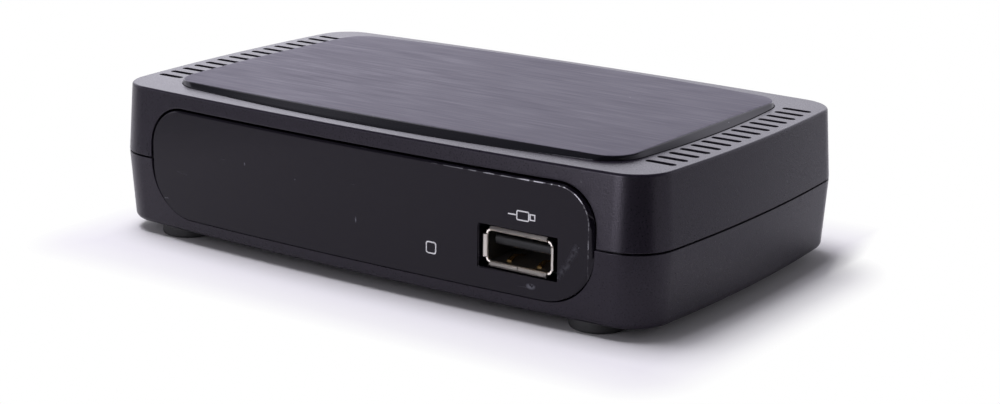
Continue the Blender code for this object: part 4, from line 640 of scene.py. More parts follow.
def bowed_outline(width, depth, front_bow, side_bow, corner, inset=0.0, bow_steps=28, corner_steps=14):
    """Plan outline with bowed sides and round corners, anticlockwise, moved in by inset."""
    half_x = width / 2 - side_bow - corner
    half_y = depth / 2 - front_bow - corner
    halves, bows = [half_x, half_y] * 2, [front_bow, side_bow] * 2
    curves = [half * half / (2 * bow) + bow / 2 for half, bow in zip(halves, bows)]
    turns = [math.asin(half / curve) for half, curve in zip(halves, curves)]
    corners = [(half_x, -half_y), (half_x, half_y), (-half_x, half_y), (-half_x, -half_y)]
    points = []
    for side in range(4):
        facing = math.radians(90 * side - 90)
        outward = pointing(facing)
        middle = outward * (half_y if side % 2 == 0 else half_x)
        centre = middle - outward * (curves[side] - bows[side])
        for step in range(bow_steps + 1):
            angle = facing + turns[side] * (2 * step / bow_steps - 1)
            points.append(centre + pointing(angle) * (curves[side] + corner - inset))
        first = facing + turns[side]
        last = facing + math.radians(90) - turns[(side + 1) % 4]
        for step in range(1, corner_steps):
            angle = first + (last - first) * step / corner_steps
            points.append(Vector(corners[side]) + pointing(angle) * (corner - inset))
    return points


def shell_outline(inset):
    """The housing's outline, moved in by inset."""
    size = bpy.context.scene.box_housing
    return bowed_outline(size.width, size.depth, size.front_bow, size.side_bow, size.corner, inset)


def lean(level):
    """How far the outer wall leans in at a height."""
    size = bpy.context.scene.box_housing
    if level > size.split:
        return size.top_draft * (level - size.split) / (size.rim - size.split)
    return size.low_draft * (size.split - level) / (size.split - size.underside)


def front_drop(across):
    """How far the bowed front has turned back at a distance from the middle."""
    size = bpy.context.scene.box_housing
    half = size.width / 2 - size.side_bow - size.corner
    curve = half * half / (2 * size.front_bow) + size.front_bow / 2 + size.corner
    return curve - math.sqrt(curve * curve - across * across)


def wall_front(across, level):
    """Y of the front wall's outer face."""
    return -bpy.context.scene.box_housing.depth / 2 + lean(level) + front_drop(across)


def round_rectangle(width, height, radius, steps=6):
    """Rectangle with round corners about the origin, anticlockwise."""
    points = []
    for turn, (side_x, side_y) in enumerate(((1, -1), (1, 1), (-1, 1), (-1, -1))):
        centre = Vector((side_x * (width / 2 - radius), side_y * (height / 2 - radius)))
        for angle in arc(steps):
            angle += math.radians(90 * (turn - 1))
            points.append(centre + pointing(angle) * radius)
    return points


def slot_outline(reach, width, grow=0.0, steps=10):
    """Slot with round ends, along X, anticlockwise."""
    radius = width / 2 + grow
    points = []
    for side in (1, -1):
        for step in range(steps + 1):
            angle = math.pi * (step / steps - 0.5) + (0.0 if side > 0 else math.pi)
            centre = side * (reach / 2 - width / 2)
            points.append(Vector((centre + radius * math.cos(angle), radius * math.sin(angle))))
    return points


def slot_loop(reach, width, x, y, level, grow=0.0):
    """A slot's outline at a place and a height."""
    return [Vector((p.x + x, p.y + y, level)) for p in slot_outline(reach, width, grow)]


def plate_foot(inset):
    """The outline of the plate's foot, moved in by inset."""
    size = bpy.context.scene.box_plate
    return bowed_outline(size.width, size.depth, size.front_bow, size.side_bow, size.foot_corner, inset)


def window_outline(end_grow, head_grow, sill_grow, bow_steps=48, corner_steps=16):
    """The window's outline in X and Z, each lower point under its upper one."""
    size = bpy.context.scene.box_window
    half = size.half + end_grow
    low, high = size.low - sill_grow, size.high + head_grow
    top_corner, low_corner = size.top_corner + end_grow, size.low_corner + end_grow
    reach = half - low_corner
    stations = [reach * (2 * step / bow_steps - 1) for step in range(bow_steps + 1)]
    bends = [reach + low_corner * math.sin(angle) for angle in arc(corner_steps)[1:]]
    stations = [-across for across in reversed(bends)] + stations + bends
    lower, upper = [], []
    for across in stations:
        into_low = max(0.0, abs(across) - (half - low_corner))
        into_high = max(0.0, abs(across) - (half - top_corner))
        lower.append(Vector((across, low + low_corner
                             - math.sqrt(max(0.0, low_corner ** 2 - into_low ** 2)))))
        upper.append(Vector((across, high - top_corner
                             + math.sqrt(max(0.0, top_corner ** 2 - into_high ** 2)))))
    return lower + upper[::-1]


# Mesh builders

def level_loop(points, level):
    """Plan points at a height."""
    return [Vector((point.x, point.y, level)) for point in points]


def front_loop(points, depth, x=0.0, z=0.0):
    """Points of a standing outline at a Y."""
    return [Vector((point.x + x, depth, point.y + z)) for point in points]


def band(mesh, first, second):
    """Quads between two rows of points that go round."""
    for index in range(len(first)):
        after = (index + 1) % len(first)
        mesh.faces.new((first[index], first[after], second[after], second[index]))


def loft(mesh, loops, ring=False):
    """Skin between loops. Both ends are closed, or the last loop meets the first."""
    rows = [[mesh.verts.new(point) for point in loop] for loop in loops]
    if not ring:
        mesh.faces.new(rows[0])
        mesh.faces.new(rows[-1])
    for first, second in zip(rows, rows[1:] + (rows[:1] if ring else [])):
        band(mesh, first, second)


def block(mesh, low, high):
    """Box between two corners."""
    corners = (low[0], low[1]), (high[0], low[1]), (high[0], high[1]), (low[0], high[1])
    loop = [Vector(corner) for corner in corners]
    loft(mesh, [level_loop(loop, low[2]), level_loop(loop, high[2])])


def turned(mesh, centre, profile, steps=48):
    """Turn a profile of (radius, height) about an upright axis into a solid."""
    turns = [2 * math.pi * step / steps for step in range(steps)]
    loft(mesh, [[Vector((centre[0] + radius * math.cos(a), centre[1] + radius * math.sin(a), level))
                 for a in turns] for radius, level in profile])


def as_object(name, mesh):
    """Turn a mesh being built into an object in the scene."""
    bmesh.ops.recalc_face_normals(mesh, faces=mesh.faces)
    data = bpy.data.meshes.new(name)
    mesh.to_mesh(data)
    mesh.free()
    piece = bpy.data.objects.new(name, data)
    bpy.context.scene.collection.objects.link(piece)
    return piece


def carve(piece, mesh, operation="DIFFERENCE"):
    """Cut a mesh being built out of a piece, or join it on."""
    tool = as_object("tool", mesh)
    change = piece.modifiers.new("carve", "BOOLEAN")
    change.operation = operation
    change.solver = "EXACT"
    change.object = tool
    view = bpy.context.evaluated_depsgraph_get()
    made = bpy.data.meshes.new_from_object(piece.evaluated_get(view))
    piece.modifiers.clear()
    before, piece.data = piece.data, made
    made.name = piece.name
    bpy.data.meshes.remove(before)
    used = tool.data
    bpy.data.objects.remove(tool)
    bpy.data.meshes.remove(used)


def dress(piece, material, slot, *nodes, angle=32.0, weighted=True, body=BODY):
    """Smooth a piece, give it its finish and tie it to the frame."""
    piece.data.materials.clear()
    piece.data.materials.append(material)
    piece.data.shade_smooth()
    piece.data.set_sharp_from_angle(angle=math.radians(angle))
    if weighted:
        change = piece.modifiers.new("flat faces", "WEIGHTED_NORMAL")
        change.keep_sharp = True
    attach(piece, body)
    if nodes:
        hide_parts(*nodes)
    return piece


def redress(material, *names):
    """Give CAD nodes that keep their shape a better finish."""
    for name in names:
        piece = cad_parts[name]
        for place in piece.material_slots:
            place.material = material
        if not piece.material_slots:
            piece.data.materials.append(material)


# Housing

def carve_window_opening(piece, gap, bevel):
    """Cut the window's opening through the front wall, a gap wider than the window, with a shallow bevel."""
    loops = []
    for grow, depth in OPENING_LEVELS:
        outline = window_outline(*[gap + grow * bevel] * 3)
        loops.append([Vector((p.x, wall_front(p.x, p.y) + depth, p.y)) for p in outline])
    mesh = bmesh.new()
    skin_with_strips(mesh, loops)
    carve(piece, mesh)


def skin_with_strips(mesh, loops):
    """Loft window outlines and close both ends with upright strips."""
    rows = [[mesh.verts.new(point) for point in loop] for loop in loops]
    count = len(rows[0])
    for first, second in zip(rows, rows[1:]):
        band(mesh, first, second)
    for row in (rows[0], rows[-1]):
        for index in range(count // 2 - 1):
            mesh.faces.new((row[index], row[index + 1], row[count - 2 - index], row[count - 1 - index]))


def carve_rear_opening(piece):
    """Cut the opening for the rear panel, with round corners."""
    low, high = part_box("rear_panel")
    groove_sides, groove_ends, corner = 2.0 * MM, 1.4 * MM, 0.8 * MM
    width, height = high.x - low.x - groove_sides, high.z - low.z - groove_ends
    back = bpy.context.scene.box_housing.depth / 2
    outline = round_rectangle(width, height, corner, 5)
    mesh = bmesh.new()
    loft(mesh, [front_loop(outline, high.y - 5 * MM, 0.0, (low.z + high.z) / 2),
                front_loop(outline, back + OVERRUN, 0.0, (low.z + high.z) / 2)])
    carve(piece, mesh)


def wall_loops(levels):
    """Outer wall loops from (height, extra inset) pairs."""
    return [level_loop(shell_outline(lean(level) + extra), level) for level, extra in levels]


class BOX_OT_upper_housing(bpy.types.Operator):
    """Moulded lid with its rim, vents and half of the window's opening"""
    bl_idname = "streaming_box.upper_housing"
    bl_label = "Upper housing"

    def execute(self, context):
        size, vent, plate = context.scene.box_housing, context.scene.box_vents, context.scene.box_plate
        start = size.split + size.gap / 2
        levels = [(start + size.edge * (1 - math.cos(a)), size.edge * (1 - math.sin(a))) for a in arc(4)]
        top = size.rim - size.top_round
        for step in range(1, 5):
            levels.append((start + size.edge + (top - start - size.edge) * step / 5, 0.0))
        levels += [(top + size.top_round * math.sin(a), size.top_round * (1 - math.cos(a))) for a in arc(10)]
        levels.append((size.rim, size.top_round + 0.2 * MM))
        mesh = bmesh.new()
        loft(mesh, wall_loops(levels))
        piece = as_object("lid", mesh)

        ceiling = size.rim - size.roof
        mesh = bmesh.new()
        loft(mesh, [level_loop(shell_outline(lean(z) + size.wall), z)
                    for z in (size.split - OVERRUN, size.split + 2 * MM, ceiling)])
        carve(piece, mesh)
        mesh = bmesh.new()
        loft(mesh, [level_loop(shell_outline(size.wall - size.lip - size.gap), z)
                    for z in (size.split - 1.1 * MM, size.split + size.lip_rise + 0.25 * MM)])
        carve(piece, mesh)

        under_plate, play, widened, edge = 0.3 * MM, 0.1 * MM, 0.16 * MM, 0.06 * MM
        seat = size.rim - plate.sink - under_plate
        mesh = bmesh.new()
        grown = [plate_foot(-grow) for grow in (play, play, widened, widened)]
        loft(mesh, [level_loop(loop, z) for loop, z in
                    zip(grown, (seat, size.rim - edge, size.rim, size.rim + OVERRUN))])
        carve(piece, mesh)

        mesh = bmesh.new()
        middle = (vent.count - 1) / 2
        for side in (-1, 1):
            for index in range(vent.count):
                along = (index - middle) / middle
                x = side * (vent.place - vent.bow * along * along)
                y = vent.shift + (index - middle) * vent.pitch
                loops = [(0.0, ceiling - OVERRUN)]
                loops += [(vent.edge * (1 - math.cos(a)), size.rim - vent.edge + vent.edge * math.sin(a))
                          for a in arc(4)]
                loops.append((vent.edge, size.rim + OVERRUN))
                loft(mesh, [slot_loop(vent.reach, vent.width, x, y, z, grow) for grow, z in loops])
        carve(piece, mesh)
        carve_window_opening(piece, context.scene.box_window.upper_gap, context.scene.box_window.upper_bevel)
        carve_rear_opening(piece)
        dress(piece, moulded_black(), "moulded_black", "upper_housing")
        return {"FINISHED"}


class BOX_OT_lower_housing(bpy.types.Operator):
    """Moulded tray with its lip, feet recesses and air inlets"""
    bl_idname = "streaming_box.lower_housing"
    bl_label = "Lower housing"

    def execute(self, context):
        size = context.scene.box_housing
        end = size.split - size.gap / 2
        levels = [(size.underside, size.low_round + 0.2 * MM)]
        levels += [(size.underside + size.low_round * (1 - math.cos(a)), size.low_round * (1 - math.sin(a)))
                   for a in arc(10)]
        for step in range(1, 5):
            base = size.underside + size.low_round
            levels.append((base + (end - size.edge - base) * step / 5, 0.0))
        levels += [(end - size.edge + size.edge * math.sin(a), size.edge * (1 - math.cos(a))) for a in arc(4)]
        mesh = bmesh.new()
        loft(mesh, wall_loops(levels))
        piece = as_object("tray", mesh)

        lip_top, lip_edge, lip_root = end + size.lip_rise, 0.15 * MM, 0.5 * MM
        mesh = bmesh.new()
        loft(mesh, [level_loop(shell_outline(size.wall - size.lip), z)
                    for z in (end - lip_root, lip_top - lip_edge)]
             + [level_loop(shell_outline(size.wall - size.lip + lip_edge), lip_top)])
        carve(piece, mesh, "UNION")
        mesh = bmesh.new()
        loft(mesh, [level_loop(shell_outline(lean(z) + size.wall), z)
                    for z in (size.underside + size.floor, size.split - 2 * MM, size.split + 3 * MM)])
        carve(piece, mesh)

        mesh = bmesh.new()
        for name in CORNERS:
            low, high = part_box(name + "_foot")
            centre = (low + high) / 2
            play, edge, recess = 0.25 * MM, 0.15 * MM, 0.6 * MM
            radius = (high.x - low.x) / 2 + play
            turned(mesh, centre, [(radius + edge, size.underside - OVERRUN), (radius + edge, size.underside),
                                  (radius, size.underside + edge), (radius, size.underside + recess)])
        carve(piece, mesh)
        mesh = bmesh.new()
        inlets, pitch, reach, width, row_share = 6, 4.2 * MM, 13 * MM, 1.6 * MM, 0.42
        for side in (-1, 1):
            for index in range(inlets):
                x = side * row_share * size.width / 2
                y = (index - (inlets - 1) / 2) * pitch
                loft(mesh, [slot_loop(reach, width, x, y, z)
                            for z in (size.underside - OVERRUN, size.underside + size.floor + OVERRUN)])
        carve(piece, mesh)
        carve_window_opening(piece, context.scene.box_window.lower_gap, context.scene.box_window.lower_edge)
        carve_rear_opening(piece)
        dress(piece, moulded_black(), "moulded_black", "lower_housing")
        return {"FINISHED"}


class BOX_OT_top_plate(bpy.types.Operator):
    """Raised plate with a brushed face and a polished slope"""
    bl_idname = "streaming_box.top_plate"
    bl_label = "Top plate"

    def execute(self, context):
        size, rim = context.scene.box_plate, context.scene.box_housing.rim

        def face(point):
            part = (2 * point.x / size.width) ** 2 * (2 * point.y / size.depth) ** 2
            return rim + size.rise - size.dip * part

        edge = bowed_outline(size.face_width, size.face_depth, size.face_front_bow, size.face_side_bow,
                             size.corner)
        loops = [(level_loop(plate_foot(0.0), rim - size.sink), 1.0),
                 (level_loop(plate_foot(0.0), rim + size.step), 1.0),
                 (level_loop(plate_foot(0.05 * MM), rim + size.step + 0.05 * MM), 1.0)]
        start = loops[-1][0]
        rows = {}
        for index, point in enumerate(edge):
            top = Vector((point.x, point.y, face(point)))
            below = start[index]
            run = (top - below).normalized()
            inner = point * (1.0 - 2 * size.soft / size.face_width)
            inward = (inner - point).normalized() if (inner - point).length else Vector((0.0, 0.0))
            inner = point + inward * size.soft
            after = Vector((inner.x, inner.y, face(inner)))
            before = top - run * min(size.soft, (top - below).length * 0.45)
            for step in range(9):
                t = step / 8
                spot = before * (1 - t) ** 2 + top * 2 * t * (1 - t) + after * t * t
                rows.setdefault(step, []).append(spot)
        for step in range(1, 4):
            part = step / 4
            loops.append(([a.lerp(b, part) for a, b in zip(start, rows[0])], 1.0))
        for step in range(9):
            loops.append((rows[step], 1.0 if step < 5 else 0.0))
        last = rows[8]
        for step in range(1, 15):
            part = 1.0 - step / 15
            loops.append(([Vector((p.x * part, p.y * part, face(p * part))) for p in last], 0.0))
        mesh = bmesh.new()
        layer = mesh.verts.layers.float.new("slope")
        made = []
        for loop, slope in loops:
            row = []
            for point in loop:
                vert = mesh.verts.new(point)
                vert[layer] = slope
                row.append(vert)
            made.append(row)
        count = len(edge)
        for first, second in zip(made, made[1:]):
            band(mesh, first, second)
        mesh.faces.new(made[0])
        middle = mesh.verts.new((0.0, 0.0, rim + size.rise))
        for index in range(count):
            mesh.faces.new((made[-1][index], made[-1][(index + 1) % count], middle))
        piece = as_object("plate", mesh)
        dress(piece, brushed_plate(), "brushed_plate", "top_plate", angle=50.0)
        return {"FINISHED"}


# Window and port

def window_face(across):
    """Y of the window's face."""
    return (-bpy.context.scene.box_housing.depth / 2 + bpy.context.scene.box_window.recess
            + front_drop(across))


class BOX_OT_front_window(bpy.types.Operator):
    """Dark gloss window that follows the front's bow, with the port's cut-out"""
    bl_idname = "streaming_box.front_window"
    bl_label = "Front window"

    def execute(self, context):
        size, port = context.scene.box_window, context.scene.box_port
        loops = []
        back = size.thick / size.edge
        for inset, depth in ((0.0, back), (0.0, back / 2), *WINDOW_EDGE):
            wide, slim = [window_outline(-inset * end, -inset * size.head_bevel, -inset * size.sill_bevel)
                          for end in (size.end_bevel, size.left_bevel)]
            outline = [b.lerp(a, min(1.0, max(0.0, a.x / size.half + 0.5))) for a, b in zip(wide, slim)]
            loops.append([Vector((p.x, window_face(p.x) + depth * size.edge, p.y)) for p in outline])
        mesh = bmesh.new()
        skin_with_strips(mesh, loops)
        piece = as_object("window", mesh)
        mesh = bmesh.new()
        face = window_face(port.x)
        soft = 0.10 * MM
        loft(mesh, [front_loop(round_rectangle(port.cut_width + 2 * grow, port.cut_height + 2 * grow,
                                               0.15 * MM + grow, 4), face + depth, port.x, port.z)
                    for grow, depth in ((soft, -2 * MM), (soft, 0.0), (soft * 0.3, soft * 0.3),
                                        (0.0, soft), (0.0, 5 * MM))])
        carve(piece, mesh)
        dress(piece, window_gloss(), "window_gloss", "front_panel")
        return {"FINISHED"}


def sheet_strip(mesh, line, thickness, half, place):
    """Sheet bent along a line of (depth, offset) points, placed by a function of (across, depth, offset)."""
    normals = []
    for index in range(len(line)):
        before, after = line[max(0, index - 1)], line[min(len(line) - 1, index + 1)]
        run = Vector((after[0] - before[0], after[1] - before[1])).normalized()
        normals.append(Vector((-run.y, run.x)))
    outer = [(d + n.x * thickness, o + n.y * thickness) for (d, o), n in zip(line, normals)]
    profile = list(line) + outer[::-1]
    loft(mesh, [[place(across, d, o) for d, o in profile] for across in (-half, half)])


class BOX_OT_front_port(bpy.types.Operator):
    """Serial port: bent sheet shell with flared lips and springs, tongue and contacts"""
    bl_idname = "streaming_box.front_port"
    bl_label = "Front port"

    def execute(self, context):
        size = context.scene.box_port
        mouth = window_face(size.x)
        outer_w, outer_h = size.width + 2 * size.sheet, size.height + 2 * size.sheet
        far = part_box("front_port_shell")[1].y
        near = mouth + size.lip
        mesh = bmesh.new()
        outer = round_rectangle(outer_w, outer_h, size.corner, 8)
        inner = round_rectangle(size.width, size.height, size.corner - size.sheet, 8)
        ends = (outer, near), (outer, far), (inner, far), (inner, near)
        loft(mesh, [front_loop(points, y, size.x, size.z) for points, y in ends], ring=True)
        piece = as_object("port_shell", mesh)

        lips = bmesh.new()
        bend = math.radians(52)
        radius = 0.85 * size.lip
        line = [(-radius * math.sin(bend * step / 8), radius * (1 - math.cos(bend * step / 8)))
                for step in range(9)]
        line = [(0.25 * MM, 0.0)] + line
        rest = size.lip + line[-1][0]
        line.append((line[-1][0] - rest, line[-1][1] + rest * math.tan(bend)))
        scale = size.flare / line[-1][1]
        line = [(d, o * scale) for d, o in line]
        for wide in (True, False):
            base = (size.height if wide else size.width) / 2
            span = (outer_w if wide else outer_h) / 2 - size.corner - 0.12 * MM
            for side in (-1, 1):
                def place(across, depth, offset, wide=wide, side=side, base=base):
                    flat = side * (base + offset)
                    x, z = (across, flat) if wide else (flat, across)
                    return Vector((size.x + x, near + depth, size.z + z))
                if wide and side < 0:
                    for half_side in (-1, 1):
                        middle = half_side * (span / 2 + 0.03 * MM)
                        sheet_strip(lips, line, -size.lip_sheet, span / 2 - 0.03 * MM,
                                    lambda a, d, o, m=middle: place(a + m, d, o))
                else:
                    sheet_strip(lips, line, -size.lip_sheet if wide or side < 0 else -size.sheet, span, place)
        lip_piece = as_object("port_lips", lips)

        corners = bmesh.new()
        for turn, (side_x, side_z) in enumerate(((1, -1), (1, 1), (-1, 1), (-1, -1))):
            centre = Vector((size.x + side_x * (outer_w / 2 - size.corner),
                             size.z + side_z * (outer_h / 2 - size.corner)))
            profile = []
            for reach, order in ((size.corner, 1), (size.corner - size.sheet, -1)):
                angles = [a + math.radians(90 * (turn - 1)) for a in arc(8)][::order]
                profile += [centre + pointing(a) * reach for a in angles]
            loft(corners, [front_loop(profile, y) for y in (near + 0.2 * MM, mouth + 0.5 * MM)])
        corner_piece = as_object("port_corners", corners)

        springs = bmesh.new()
        for side, across in ((-1, -0.24), (-1, 0.24), (1, -0.24), (1, 0.24)):
            line = [(2.2 * MM + 4.4 * MM * t, -0.55 * MM * math.sin(math.pi * min(1.0, t * 1.15)) ** 1.5)
                    for t in [step / 10 for step in range(11)]]

            def place(a, depth, offset, side=side, across=across):
                up = side * (size.height / 2 + offset - 0.02 * MM)
                return Vector((size.x + (across * size.width + a), mouth + depth, size.z + up))
            sheet_strip(springs, line, -0.2 * MM, 0.40 * MM, place)
        spring_piece = as_object("port_springs", springs)
        # The shell takes a darker copy of the plated sheet: painted shade for the dim inside of the socket
        dress(piece, shell_inside(), "plated_sheet", "front_port_shell", angle=40.0)
        for made in (lip_piece, corner_piece):
            dress(made, plated_sheet(), "plated_sheet", "front_port_shell", angle=40.0)
        dress(spring_piece, gold_plating(), "gold_plating", "front_port_shell", angle=40.0)

        low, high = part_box("front_port_tongue")
        back = high.y
        blade_low, blade_high = size.z, size.z + 1.84 * MM
        tip = low.y
        soft = 0.7 * MM
        mesh = bmesh.new()
        profile = [(back, low.z), (back, high.z), (back - 2.6 * MM, high.z), (back - 2.6 * MM, blade_high)]
        profile += [(tip + soft - soft * math.sin(a), blade_high - soft + soft * math.cos(a)) for a in arc(4)]
        profile += [(tip + soft - soft * math.cos(a), blade_low + soft - soft * math.sin(a)) for a in arc(4)]
        profile += [(back - 2.6 * MM, blade_low), (back - 2.6 * MM, low.z)]
        loft(mesh, [[Vector((x, y, z)) for y, z in profile] for x in (low.x, high.x)])
        tongue = as_object("port_tongue", mesh)
        dress(tongue, socket_nylon(), "socket_nylon", "front_port_tongue")
        for number in range(1, 5):
            name = "front_port_contact_%d" % number
            low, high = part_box(name)
            under = blade_low
            profile = [(high.y, under), (high.y, under - 0.2 * MM), (tip + 3.0 * MM, under - 0.3 * MM),
                       (tip + 2.0 * MM, under - 0.45 * MM), (tip + 1.2 * MM, under - 0.2 * MM),
                       (tip + 1.0 * MM, under), (tip + 1.3 * MM, under)]
            mesh = bmesh.new()
            loft(mesh, [[Vector((x, y, z)) for y, z in profile] for x in (low.x, high.x)])
            dress(as_object("port_contact_%d" % number, mesh), gold_plating(), "gold_plating", name)
        return {"FINISHED"}


def on_window(point, proud):
    """A point of the window's face, standing proud of it."""
    return Vector((point.x, window_face(point.x) - proud, point.y))


def moved(points, x, z):
    """Outline points moved to a place."""
    return [Vector((p.x + x, p.y + z)) for p in points]


def printed_shape(mesh, outline):
    """Thin printed shape on the window's face."""
    loft(mesh, [[on_window(p, amount) for p in outline] for amount in (PRINT_FOOT, PRINT_TOP)])


def printed_frame(mesh, x, z, width, height, line, corner, hole):
    """Thin printed frame about a point of the window's face, with round corners outside and inside."""
    outer = moved(round_rectangle(width, height, corner), x, z)
    inner = moved(round_rectangle(width - 2 * line, height - 2 * line, hole), x, z)
    loops = (outer, PRINT_FOOT), (outer, PRINT_TOP), (inner, PRINT_TOP), (inner, PRINT_FOOT)
    loft(mesh, [[on_window(p, amount) for p in loop] for loop, amount in loops], ring=True)


class BOX_OT_printed_marks(bpy.types.Operator):
    """Generic plug outline above the port and a plain rounded square beside it"""
    bl_idname = "streaming_box.printed_marks"
    bl_label = "Printed marks"

    def execute(self, context):
        line = 0.22 * MM
        mesh = bmesh.new()
        x, z = 34.9 * MM, 18.45 * MM
        printed_frame(mesh, x, z, 2.5 * MM, 1.75 * MM, line, corner=0.35 * MM, hole=0.13 * MM)
        tip = x + 1.8 * MM + 0.05 * MM
        printed_frame(mesh, tip, z, 1.1 * MM, 1.15 * MM, line, corner=0.06 * MM, hole=0.05 * MM)
        printed_shape(mesh, moved(round_rectangle(1.6 * MM, line, 0.05 * MM), x - 2.05 * MM, z))
        plug = as_object("plug_mark", mesh)
        mesh = bmesh.new()
        x, z = 16.7 * MM, 9.9 * MM
        side = 2.15 * MM
        printed_frame(mesh, x, z, side, side, line, corner=0.45 * MM, hole=0.25 * MM)
        square = as_object("square_mark", mesh)
        for piece in (plug, square):
            dress(piece, white_print(), "window_gloss", weighted=False)
        return {"FINISHED"}


# Feet, fixings and inside

class BOX_OT_feet(bpy.types.Operator):
    """Rubber feet with a rounded lower edge and a slight groove"""
    bl_idname = "streaming_box.feet"
    bl_label = "Feet"

    def execute(self, context):
        for name in CORNERS:
            low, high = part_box(name + "_foot")
            centre = (low + high) / 2
            radius = (high.x - low.x) / 2
            mesh = bmesh.new()
            profile = [(radius - 1.6 * MM, low.z + 0.18 * MM), (radius - 1.3 * MM, low.z)]
            soft = 0.5 * MM
            profile += [(radius - soft + soft * math.sin(a), low.z + soft - soft * math.cos(a))
                        for a in arc(6)]
            profile += [(radius - 0.05 * MM, low.z + 1.2 * MM), (radius, low.z + 1.35 * MM), (radius, high.z)]
            turned(mesh, centre, profile, 64)
            foot = as_object("foot_" + name, mesh)
            dress(foot, foot_rubber(), "foot_rubber", name + "_foot")
        return {"FINISHED"}


def blade_box(name, reach):
    """Lowest and highest corners of a node's end nearest the back."""
    points = [vertex.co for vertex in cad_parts[name].data.vertices]
    end = max(point.y for point in points)
    near = [point for point in points if point.y > end - reach]
    return (Vector([min(point[axis] for point in near) for axis in range(3)]),
            Vector([max(point[axis] for point in near) for axis in range(3)]))


def ring(mesh, x, z, inner, outer, low, high, steps=40):
    """Ring about a line along Y."""
    turns = [2 * math.pi * step / steps for step in range(steps)]
    loft(mesh, [[Vector((x + r * math.cos(a), y, z + r * math.sin(a))) for a in turns]
                for r, y in ((outer, low), (outer, high), (inner, high), (inner, low))], ring=True)


class BOX_OT_rear_sockets(bpy.types.Operator):
    """Contacts, rings and springs of the sockets on the back"""
    bl_idname = "streaming_box.rear_sockets"
    bl_label = "Rear sockets"

    def execute(self, context):
        low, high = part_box("network_jack_insert")
        middle, face = (low.x + high.x) / 2, high.y
        roof = high.z - 1.05 * MM
        mesh = bmesh.new()
        line = [(face - 1.2 * MM, roof), (face - 2.6 * MM, roof - 0.5 * MM),
                (face - 8.6 * MM, roof - 3.9 * MM), (face - 9.4 * MM, roof - 3.9 * MM)]
        for wire in range(8):
            x = middle + (wire - 3.5) * 1.02 * MM
            profile = line + [(y, z + 0.3 * MM) for y, z in reversed(line)]
            loft(mesh, [[Vector((x + side * 0.19 * MM, y, z)) for y, z in profile] for side in (-1, 1)])
        dress(as_object("network_springs", mesh), gold_plating(), "gold_plating", weighted=False)

        mesh = bmesh.new()
        jack_low, jack_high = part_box("network_jack_shell")
        for side in (-1, 1):
            x = jack_low.x if side < 0 else jack_high.x
            for z in (jack_low.z + 4 * MM, jack_high.z - 4 * MM):
                line = [(jack_high.y - 0.6 * MM - 3.6 * MM * t, 0.42 * MM * math.sin(math.pi * t)) for t in
                        [step / 8 for step in range(9)]]
                sheet_strip(mesh, line, 0.2 * MM, 0.9 * MM,
                            lambda a, d, o: Vector((x + side * (o - 0.1 * MM), d, z + a)))
        dress(as_object("network_tabs", mesh), plated_sheet(), "plated_sheet", weighted=False)

        low, high = blade_box("video_port_tongue", 1.0 * MM)
        middle = (low.x + high.x) / 2
        mesh = bmesh.new()
        for level, count in ((high.z, 10), (low.z, 9)):
            for contact in range(count):
                x = middle + (contact - (count - 1) / 2) * 1.0 * MM
                block(mesh, (x - 0.22 * MM, high.y - 4.5 * MM, level - 0.06 * MM),
                      (x + 0.22 * MM, high.y - 0.35 * MM, level + 0.06 * MM))
        dress(as_object("video_contacts", mesh), gold_plating(), "gold_plating", weighted=False)

        low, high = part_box("sound_jack")
        mesh = bmesh.new()
        x, z = (low.x + high.x) / 2, low.z + 3.1 * MM
        ring(mesh, x, z, 1.76 * MM, 2.35 * MM, high.y - 0.5 * MM, high.y + 0.06 * MM)
        dress(as_object("sound_ring", mesh), plated_sheet(), "plated_sheet", weighted=False)

        low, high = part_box("power_jack_pin")
        mesh = bmesh.new()
        x, z = (low.x + high.x) / 2, (low.z + high.z) / 2
        ring(mesh, x, z, 2.9 * MM, 3.14 * MM, high.y - 4.0 * MM, high.y - 0.4 * MM)
        ring(mesh, x, z, 3.25 * MM, 3.6 * MM, high.y + 0.9 * MM, high.y + 1.06 * MM)
        dress(as_object("power_rings", mesh), plated_sheet(), "plated_sheet", weighted=False)
        return {"FINISHED"}


class BOX_OT_inside(bpy.types.Operator):
    """Finishes for the board, its parts, the screws and the sockets"""
    bl_idname = "streaming_box.inside"
    bl_label = "Inside"

    def execute(self, context):
        redress(screw_steel(), *[c + "_case_screw" for c in CORNERS], *[c + "_board_screw" for c in CORNERS],
                "shutter_pin", "crystal", "power_jack_pin")
        redress(board_laminate(), "main_board")
        redress(chip_moulding(), "processor", "memory_chip_1", "memory_chip_2", "flash_chip",
                "network_transformer", "power_regulator")
        redress(plated_sheet(), "wireless_module", "video_port_shell", "network_jack_shell")
        redress(thermal_pad(), "thermal_pad")
        redress(sink_aluminium(), "heat_sink")
        redress(capacitor_sleeve(), "capacitor_1", "capacitor_2", "capacitor_3")
        redress(ferrite(), "power_inductor")
        redress(dark_lens(), "infrared_receiver", "status_lamp")
        redress(socket_nylon(), "video_port_tongue", "network_jack_insert", "power_jack_body", "sound_jack",
                "optical_port_body", "optical_shutter", "reset_switch", "reset_button")
        redress(moulded_black(), "rear_panel")
        return {"FINISHED"}


# Stage

def lamp(name, place, target, size, power, colour):
    """A soft rectangular lamp that looks at a point."""
    data = bpy.data.lights.new(name, "AREA")
    data.shape = "RECTANGLE"
    data.size, data.size_y = size
    data.energy = power
    data.color = colour
    made = bpy.data.objects.new(name, data)
    made.location = place
    made.rotation_mode = "QUATERNION"
    made.rotation_quaternion = (Vector(target) - Vector(place)).to_track_quat("-Z", "Y")
    bpy.context.scene.collection.objects.link(made)
    return made


